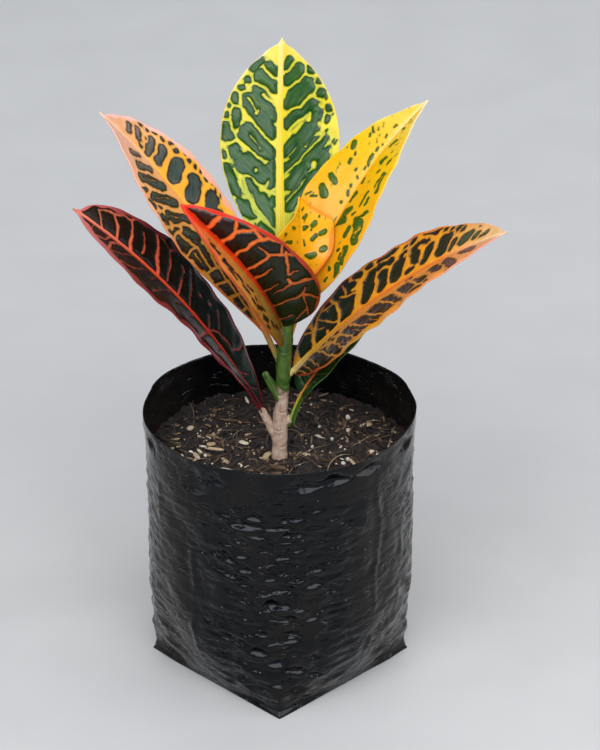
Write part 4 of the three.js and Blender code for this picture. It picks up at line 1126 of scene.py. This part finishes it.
# White grains: x, y, size.
PERLITE = [
    (22, 21, 2.6), (29, 12, 3.2), (18, 6, 3.0), (37.5, -10, 3.8), (35, -15.5, 3.6),
    (42, -16, 3.2), (54, -6, 2.6), (-2, -33, 3.0), (-41, -6, 2.6), (-49, -4, 3.6),
    (-8.5, -39, 2.8), (-66, 5, 3.8), (62, 0, 2.6), (-31, -13, 3.0), (-54, -8, 3.6),
    (-60, -2, 3.0), (38, 36, 4.2), (63, -16, 2.8), (37, -26, 2.6), (31, -17, 2.4),
]


def build_loose_bits(soil):
    """Bark shards, wood chips, perlite and root fibres lying on the bed."""
    rng = np.random.default_rng(2024)
    shards = soil.shards
    places = on_soil(shards, rng, lift=0.5)
    length = np.clip(rng.lognormal(1.45, 0.5, shards), 1.8, 15)
    sizes = np.stack([length, np.clip(length * rng.uniform(0.12, 0.42, shards), 0.5, 3.0),
                      np.clip(length * rng.uniform(0.08, 0.2, shards), 0.4, 1.5)], -1)
    bark = dry_bits("composted_pine_bark", [
        (0.0, "#0e0a07"), (0.5, "#24170f"), (0.82, "#46301f"), (0.94, "#75563a"), (1.0, "#a98a66")],
        0.8, 0.8)
    scatter("soil_bark_shards", places, sizes, rng.uniform(0, 1, shards) ** 1.15, rng, 0.3, 4, 5,
            0.3, bark, 0.05)

    build_pressed_bark(rng, bark)

    wood = dry_bits("dry_wood_chips", [
        (0.0, "#7a5636"), (0.5, "#b3946c"), (1.0, "#dccdae")], 0.75, 0.9)
    table = np.array(CHIPS, float)
    few = 90
    extra = on_soil(few, rng, 68, 0.8)
    known = np.stack([table[:, 0], table[:, 1], soil_height(table[:, 0], table[:, 1]) + 1.2], -1)
    length = rng.uniform(2.0, 5.5, few)
    sizes = np.stack([length, length * rng.uniform(0.3, 0.6, few),
                      length * rng.uniform(0.15, 0.3, few)], -1)
    scatter("soil_wood_chips", extra, sizes, rng.uniform(0, 1, few), rng, 0.25, 5, 7, 0.16, wood)
    for_known = np.stack([table[:, 2], table[:, 3], np.full(len(table), 1.5)], -1)
    build_known_chips(known, for_known, np.radians(table[:, 4]), rng, wood)

    grit = 190
    size = rng.uniform(0.7, 1.5, grit)
    sizes = np.stack([size, size * 0.8, size * 0.6], -1)
    scatter("soil_grit", on_soil(grit, rng, 69, 0.6), sizes, rng.uniform(0.2, 1, grit), rng, 0.6,
            4, 6, 0.15, wood)

    white = dry_bits("expanded_perlite", [(0.0, "#b3a998"), (1.0, "#e6dccb")], 0.9, 0.5)
    table = np.array(PERLITE, float)
    many = 45
    extra = on_soil(many, rng, 68, 0.6)
    spots = np.stack([table[:, 0], table[:, 1], soil_height(table[:, 0], table[:, 1]) + 1.0], -1)
    size = np.concatenate([table[:, 2] * 0.72, rng.uniform(0.7, 1.5, many)])
    spots = np.vstack([spots, extra])
    sizes = np.stack([size, size * 0.9, size * 0.85], -1)
    scatter("soil_perlite", spots, sizes, rng.uniform(0.3, 1, len(size)), rng, 0.8, 6, 8, 0.13,
            white)

    threads = 110
    places = on_soil(threads, rng, 64, 1.2)
    length = rng.uniform(8, 26, threads)
    thick = rng.uniform(0.25, 0.6, threads)
    sizes = np.stack([length, thick, thick], -1)
    fibre = dry_bits("root_fibres", [(0.0, "#3a281b"), (0.6, "#6e5238"), (1.0, "#b89a72")], 0.8, 0.6)
    scatter("soil_root_fibres", places, sizes, rng.uniform(0, 1, threads) ** 1.6, rng, 0.12, 9, 5,
            0.1, fibre, 0.16)


def build_pressed_bark(rng, material):
    """The largest bark, laid out as seeds are in a sunflower, each pressed in to its middle.

    Lengths, widths and heights run evenly through their ranges by steps with no common measure.
    """
    k = np.arange(BARK["count"])
    radius = BARK["reach"] * np.sqrt((k + 0.5) / BARK["count"])
    x, y = radius * np.cos(k * BARK["golden_angle"]), radius * np.sin(k * BARK["golden_angle"])
    k = k[np.hypot(x - STEM[0, 0], y - STEM[0, 1]) >= BARK["clear_of_stem"]]
    x, y = x[k], y[k]
    length, width, height = (low + (high - low) * (k * turns % 1) for (low, high), turns in (
        (BARK["length"], 0.618), (BARK["width"], 0.414), (BARK["height"], 0.732)))
    girth = np.interp(np.linspace(-1, 1, 9), (-1, -0.5, 0.4, 1), (0.35, 1, 0.9, 0.3))
    sizes = np.stack([length, width, 2 * height], -1)
    run, across, over = rods(rng, girth, sizes, 12, 0.13)
    c, s = np.cos(1.9 * k)[:, None, None], np.sin(1.9 * k)[:, None, None]
    px, py = x[:, None, None] + run * c - across * s, y[:, None, None] + run * s + across * c
    points = np.stack([px, py, bed_height(px - across * s, py + across * c) + over], -1)
    loose_mesh("soil_pressed_bark", points, rng.uniform(0.25, 0.86, len(k)), material)


def build_known_chips(places, sizes, turns, rng, material):
    """The larger pale chips, each turned as it lies: short flattened rods with uneven edges."""
    girth = np.sqrt(np.clip(1 - (np.abs(np.linspace(-1, 1, 7)) * 0.95) ** 3.2, 0.04, 1))
    run, across, over = rods(rng, girth, sizes, 10, 0.14)
    c, s = np.cos(turns)[:, None, None], np.sin(turns)[:, None, None]
    points = np.stack([run * c - across * s, run * s + across * c, over], -1)
    points = points + places[:, None, None]
    loose_mesh("soil_large_chips", points, rng.uniform(0.45, 1, len(places)), material)


# ---------------------------------------------------------------- stem


def swept_rings(path, radius, sides):
    """Rings round a path: each stands square to it, with a radius for each ring and angle."""
    ahead = np.gradient(path, axis=0)
    ahead /= np.linalg.norm(ahead, axis=1)[:, None]
    side = np.cross([0.0, 1.0, 0.0], ahead)
    side /= np.linalg.norm(side, axis=1)[:, None]
    across = np.cross(ahead, side)
    turn = np.linspace(0, 2 * np.pi, sides, endpoint=False)
    ring = side[:, None] * np.cos(turn)[:, None] + across[:, None] * np.sin(turn)[:, None]
    return path[:, None] + ring * radius[..., None]


def build_stem(plant):
    """The stem with its stubs: rods of many rings.

    The stem's girth swells at each leaf's foot, is ringed by scars and is ridged lengthwise where
    it is woody. Each stub narrows from its first radius to its second and has a rounded end.
    """
    sides = 72
    z = np.linspace(STEM[0, 2], STEM[-1, 2], 300)
    path = np.stack([np.interp(z, STEM[:, 2], STEM[:, k]) for k in range(2)] + [z], -1)
    kernel = np.ones(15) / 15
    for k in range(2):
        padded = np.pad(path[:, k], 7, mode="edge")
        path[:, k] = np.convolve(padded, kernel, mode="valid")
    girth = np.convolve(np.pad(np.interp(z, STEM[:, 2], STEM[:, 3]), 7, mode="edge"), kernel,
                        mode="valid")
    turn = np.linspace(0, 2 * np.pi, sides, endpoint=False)
    place = np.stack(np.broadcast_arrays(5 * np.cos(turn), 5 * np.sin(turn), z[:, None]), -1)
    woody = 1 - step(z, 160, 176)[:, None]
    swell = np.zeros_like(place[..., 0])
    for leaf in LEAVES:
        azimuth = math.radians(leaf["azimuth"][0])
        facing = 0.5 + 0.5 * np.cos(turn - azimuth)
        level = np.exp(-((z[:, None] - leaf["attach"] + 1.5) / 2.6) ** 2)
        swell += 0.55 * level * facing ** 2
    scars = np.zeros_like(swell)
    for level, azimuth in SCARS:
        away = np.mod(turn - math.radians(azimuth) + np.pi, 2 * np.pi) - np.pi
        facing = np.exp(-(away / 0.9) ** 2)
        line = z[:, None] - level - 0.8 * (1 - facing)
        lip = 0.2 * np.exp(-(line / 0.55) ** 2)
        scars += facing * (lip - 0.18 * np.exp(-((line - 1.1) / 0.6) ** 2))
    bark = 0.16 * creases(place * (1, 1, 0.22), 2.6, 91, 8) + 0.12 * ripple(place, 4.5, 92)
    radius = girth[:, None] + swell + scars + bark * (0.25 + 0.75 * woody)
    radius = radius * (1 + 0.28 * np.exp(-(z[:, None] - 126) / 3.0) * (z[:, None] > 123))
    points, faces = closed_rings(swept_rings(path, radius, sides))
    values = {"woody": np.append(np.repeat(woody[:, 0], sides), [woody[0, 0], woody[-1, 0]]),
              "scar": np.append(scars.ravel(), [0.0, 0.0])}
    for number, (start, end, radii, barky) in enumerate(STUBS):
        start, end = np.array(start, float), np.array(end, float)
        t = np.linspace(0, 1, 40)
        route = start + (end - start) * t[:, None]
        around = np.linspace(0, 2 * np.pi, 40, endpoint=False)
        spot = np.stack(np.broadcast_arrays(3 * np.cos(around), 3 * np.sin(around),
                                            20 * t[:, None]), -1)
        width = mix(radii[0], radii[1], t)[:, None] + 0.14 * ripple(spot, 4, 95 + number)
        end_round = 1 - (np.clip(t - 0.93, 0, 1) / 0.075) ** 2
        width = width * np.sqrt(np.clip(end_round, 0.02, 1))[:, None]
        if number == GROOVED_STUB:
            groove = 0.28 * np.exp(-((around - 4.4) / 0.5) ** 2)
            width = width * (1 - groove * step(t, 0.2, 0.5)[:, None])
        stub_points, stub_faces = closed_rings(swept_rings(route, width, 40))
        faces += [block + len(points) for block in stub_faces]
        points = np.vstack([points, stub_points])
        values["woody"] = np.append(values["woody"], np.full(len(stub_points), barky))
        values["scar"] = np.append(values["scar"], np.zeros(len(stub_points)))
    piece = make_piece("stem_rod", points, faces, young_croton_bark(plant), values)
    settle(piece, "stem")


def young_croton_bark(plant):
    """Young croton stem: beige pink corky bark at the foot with leaf scars, smooth green above.

    The bark splits lengthwise about every millimetre; the green part has a faint wax.
    """
    material, tree, place = new_material("young_croton_bark")
    split = add(tree, "noise", add(tree, "stretched", place, (1, 1, 0.2)), per(0.9), 4, 0.6)
    cloud = add(tree, "noise", place, per(3.5), 3)
    ragged = add(tree, "range", cloud, 0.3, 0.7, -0.3, 0.3)
    ragged = add(tree, "sum", add(tree, "kept", attribute_name="woody"), ragged)
    woody = add(tree, "eased", ragged, 0.35, 0.65)
    pink = add(tree, "range", cloud, 0.35, 0.65)
    corky = add(tree, "blend", pink, opaque(plant.bark_colour), linear("#a98672"))
    cracks = add(tree, "range", split, 0.5, 0.3, 0, 0.6)
    corky = add(tree, "blend", cracks, corky, linear("#6b4c38"))
    sunk = add(tree, "range", add(tree, "kept", attribute_name="scar"), -0.02, -0.2, 0, 0.7)
    corky = add(tree, "blend", sunk, corky, linear("#5a4030"))
    shaded = add(tree, "range", cloud, 0.3, 0.7)
    green = add(tree, "blend", shaded, opaque(plant.green_colour), linear("#2c4416"))
    colour = add(tree, "blend", woody, green, corky)
    rough = add(tree, "range", woody, 0, 1, 0.42, 0.78)
    finish_material(tree, colour, rough, add(tree, "bump", 0.4, 0.4 * MM, split))
    return material


# ---------------------------------------------------------------- stage


def pale_floor():
    """Matt painted board: even and pale, so nothing on it draws the eye."""
    material, tree, place = new_material("matt_painted_board")
    tone = add(tree, "range", add(tree, "noise", place, per(60)), 0.3, 0.7)
    colour = add(tree, "blend", tone, linear("#c6c0ba"), linear("#cac4be"))
    finish_material(tree, colour, 0.9)
    return material


# The point that the camera looks at and the one that the lights face, in metres.
VIEW_CENTRE = (0.0112, 0.0, 0.1758)
LIGHTS_FACE = (0, 0, 0.16)
# The lights' colour, and for each its name, place and size in metres and power in watts.
DAYLIGHT = (0.9, 0.95, 1.0)
LIGHTS = [
    ("front_sky", (-0.1, -1.45, 1.6), (2.6, 1.15), 46),
    ("left_window", (-1.85, -0.3, 0.78), (1.3, 0.8), 5),
    ("right_window", (1.85, -0.3, 0.78), (1.3, 0.9), 12),
    ("back_sky", (0.3, 1.3, 1.6), (2.2, 1.1), 13),
]


def add_light(name, place, size, power):
    """A rectangular area light that faces the plant."""
    lamp = bpy.data.lights.new(name, "AREA")
    lamp.shape = "RECTANGLE"
    lamp.size, lamp.size_y = size
    lamp.energy = power
    lamp.color = DAYLIGHT
    holder = bpy.data.objects.new(name, lamp)
    away = Vector(place) - Vector(LIGHTS_FACE)
    holder.location = place
    holder.rotation_euler = away.to_track_quat("Z", "Y").to_euler()
    bpy.context.scene.collection.objects.link(holder)


def build_stage(stage):
    """Floor, camera at the photograph's viewing angle, soft lights and a glow from the front."""
    half = 4.0
    corners = np.array([(-half, -half, 0), (half, -half, 0), (half, half, 0), (-half, half, 0)])
    floor = make_piece("floor", corners / MM, [np.array([[0, 1, 2, 3]])], pale_floor())

    camera = bpy.data.cameras.new("camera")
    camera.sensor_fit = "VERTICAL"
    camera.sensor_height = 36.0
    camera.lens = stage.lens / MM
    camera.clip_start = 0.05
    holder = bpy.data.objects.new("camera", camera)
    pitch = stage.look_down
    x, _, z = VIEW_CENTRE
    holder.location = (x, -stage.distance * math.cos(pitch), z + stage.distance * math.sin(pitch))
    holder.rotation_euler = (math.pi / 2 - pitch, 0, 0)
    bpy.context.scene.collection.objects.link(holder)
    bpy.context.scene.camera = holder

    for name, place, size, power in LIGHTS:
        add_light(name, place, size, power * stage.brightness)
    world = bpy.data.worlds.new("studio")
    world.use_nodes = True
    tree = world.node_tree
    background = tree.nodes["Background"]
    background.inputs["Color"].default_value = linear("#bccadd")
    toward = add(tree, "parts", add(tree, "place").node.outputs["Generated"])
    ahead = add(tree, "eased", toward.node.outputs[1], 0.3, -0.5)
    above = add(tree, "eased", toward.node.outputs[2], 0.0, 0.35)
    glow = add(tree, "range", add(tree, "times", ahead, above), 0, 1, 0.2, 1.3)
    tree.links.new(glow, background.inputs["Strength"])
    bpy.context.scene.world = world
    bpy.context.scene.view_settings.view_transform = "Standard"


# ---------------------------------------------------------------- settings


def shade(name, description, value):
    """A colour a user may change, given as sRGB hex."""
    return FloatVectorProperty(name=name, description=description, subtype="COLOR", size=3,
                               min=0, max=1, default=linear(value)[:3])


def measure(name, description, millimetres):
    """A length a user may change, given in millimetres."""
    return FloatProperty(name=name, description=description, unit="LENGTH", min=0,
                         default=millimetres * MM)


class CrotonBag(bpy.types.PropertyGroup):
    film: measure("Film", "Thickness of the film as it shows at the rim", 0.5)
    crinkle: measure("Crinkle", "Height of the crossing crinkles", 0.42)
    buckles: measure("Buckles", "Depth of the staggered dents over the corners", 1.75)
    film_colour: shade("Film colour", "Colour of the clean film", "#050608")
    # painted reflection: this colour is also painted on the film's left and right sides as the ground's
    # reflection
    dust_and_reflection_colour: shade("Dust colour", "Colour where dust dulls the film", "#27221d")


class CrotonSoil(bpy.types.PropertyGroup):
    shards: IntProperty(name="Shards", description="How many bark shards lie on the bed",
                        default=1700, min=0)
    soil_colour: shade("Soil colour", "Colour of the moist mix", "#1d140f")


class CrotonPlant(bpy.types.PropertyGroup):
    leaf_edge: measure("Leaf thickness", "Thickness of a blade near its margin", 0.7)
    quilting: measure("Quilting", "How far the dark fields swell between the veins", 0.45)
    leaf_gloss: FloatProperty(name="Leaf gloss", description="Roughness of the waxy skin",
                              default=0.25, min=0, max=1)
    bark_colour: shade("Bark colour", "Colour of the woody foot", "#c0a48c")
    green_colour: shade("Green colour", "Colour of the green stem", "#4f6a24")


class CrotonLeaf(bpy.types.PropertyGroup):
    veins: shade("Veins", "Colour of the veins past the middle of the blade", "#e3d922")
    patches: shade("Patches", "Colour of the dark fields past the middle", "#1f5933")
    midrib: shade("Midrib", "Colour of the midrib past the middle", "#f0ca2b")


class CrotonStage(bpy.types.PropertyGroup):
    lens: measure("Lens", "Focal length on a 36 mm high sensor", 175.73)
    distance: FloatProperty(name="Distance", description="From the camera to the plant",
                            unit="LENGTH", default=2.0, min=0.1)
    look_down: FloatProperty(name="Look down", description="How far the camera looks down",
                             subtype="ANGLE", default=math.radians(28))
    brightness: FloatProperty(name="Brightness", description="Strength of every light",
                              default=1.0, min=0)


# ---------------------------------------------------------------- operators and panel


class CROTON_OT_bag(bpy.types.Operator):
    """Builds the crinkled nursery bag"""
    bl_idname = "croton.bag"
    bl_label = "Bag"

    def execute(self, context):
        build_bag(context.scene.croton_bag)
        return {"FINISHED"}


class CROTON_OT_soil(bpy.types.Operator):
    """Fills the bag with potting mix"""
    bl_idname = "croton.soil"
    bl_label = "Soil"

    def execute(self, context):
        build_soil(context.scene.croton_soil, context.scene.croton_bag)
        return {"FINISHED"}


class CROTON_OT_loose_bits(bpy.types.Operator):
    """Lays bark, wood chips, perlite and fibres on the soil"""
    bl_idname = "croton.loose_bits"
    bl_label = "Loose bits"

    def execute(self, context):
        build_loose_bits(context.scene.croton_soil)
        return {"FINISHED"}


class CROTON_OT_stem(bpy.types.Operator):
    """Grows the stem and its stubs"""
    bl_idname = "croton.stem"
    bl_label = "Stem"

    def execute(self, context):
        build_stem(context.scene.croton_plant)
        return {"FINISHED"}


class CROTON_OT_leaves(bpy.types.Operator):
    """Grows the eight patterned leaves"""
    bl_idname = "croton.leaves"
    bl_label = "Leaves"

    def execute(self, context):
        for leaf, look in zip(LEAVES, context.scene.croton_leaves):
            build_leaf(leaf, look, context.scene.croton_plant)
        return {"FINISHED"}


class CROTON_OT_stage(bpy.types.Operator):
    """Sets the floor, the lights and the camera"""
    bl_idname = "croton.stage"
    bl_label = "Stage"

    def execute(self, context):
        build_stage(context.scene.croton_stage)
        return {"FINISHED"}


STEPS = [CROTON_OT_stage, CROTON_OT_bag, CROTON_OT_soil, CROTON_OT_loose_bits, CROTON_OT_stem,
         CROTON_OT_leaves]


class CROTON_PT_panel(bpy.types.Panel):
    """Lists the croton's pieces and their settings"""
    bl_label = "Potted croton"
    bl_idname = "CROTON_PT_panel"
    bl_space_type = "VIEW_3D"
    bl_region_type = "UI"
    bl_category = "Croton"

    def draw(self, context):
        for operator in STEPS:
            self.layout.operator(operator.bl_idname)
        for group in ("croton_bag", "croton_soil", "croton_plant", "croton_stage"):
            settings = getattr(context.scene, group)
            box = self.layout.box()
            for key in settings.__annotations__:
                box.prop(settings, key)
        for look in context.scene.croton_leaves:
            box = self.layout.box()
            box.label(text=look.name)
            for key in ("veins", "patches", "midrib"):
                box.prop(look, key)


SETTINGS = {"croton_bag": CrotonBag, "croton_soil": CrotonSoil, "croton_plant": CrotonPlant,
            "croton_stage": CrotonStage}


def register():
    """Registers every class and hangs the settings on the scene."""
    for made in [*SETTINGS.values(), CrotonLeaf, *STEPS, CROTON_PT_panel]:
        bpy.utils.register_class(made)
    for key, group in SETTINGS.items():
        setattr(bpy.types.Scene, key, PointerProperty(type=group))
    bpy.types.Scene.croton_leaves = CollectionProperty(type=CrotonLeaf)


def unregister():
    """Takes the settings and the classes away again."""
    del bpy.types.Scene.croton_leaves
    for key in SETTINGS:
        delattr(bpy.types.Scene, key)
    for made in [CROTON_PT_panel, *STEPS, CrotonLeaf, *SETTINGS.values()]:
        bpy.utils.unregister_class(made)


def fill_leaf_looks(scene):
    """One entry for each leaf, with its own colours."""
    for leaf in LEAVES:
        look = scene.croton_leaves.add()
        look.name = leaf["name"]
        look.veins = linear(leaf["vein"].split()[2])[:3]
        look.patches = linear(leaf["patch"].split()[2])[:3]
        look.midrib = linear(leaf["rib"].split()[2])[:3]


def main():
    """Builds everything in order."""
    register()
    fill_leaf_looks(bpy.context.scene)
    for operator in STEPS:
        package, name = operator.bl_idname.split(".")
        getattr(getattr(bpy.ops, package), name)()


if __name__ == "__main__":
    main()
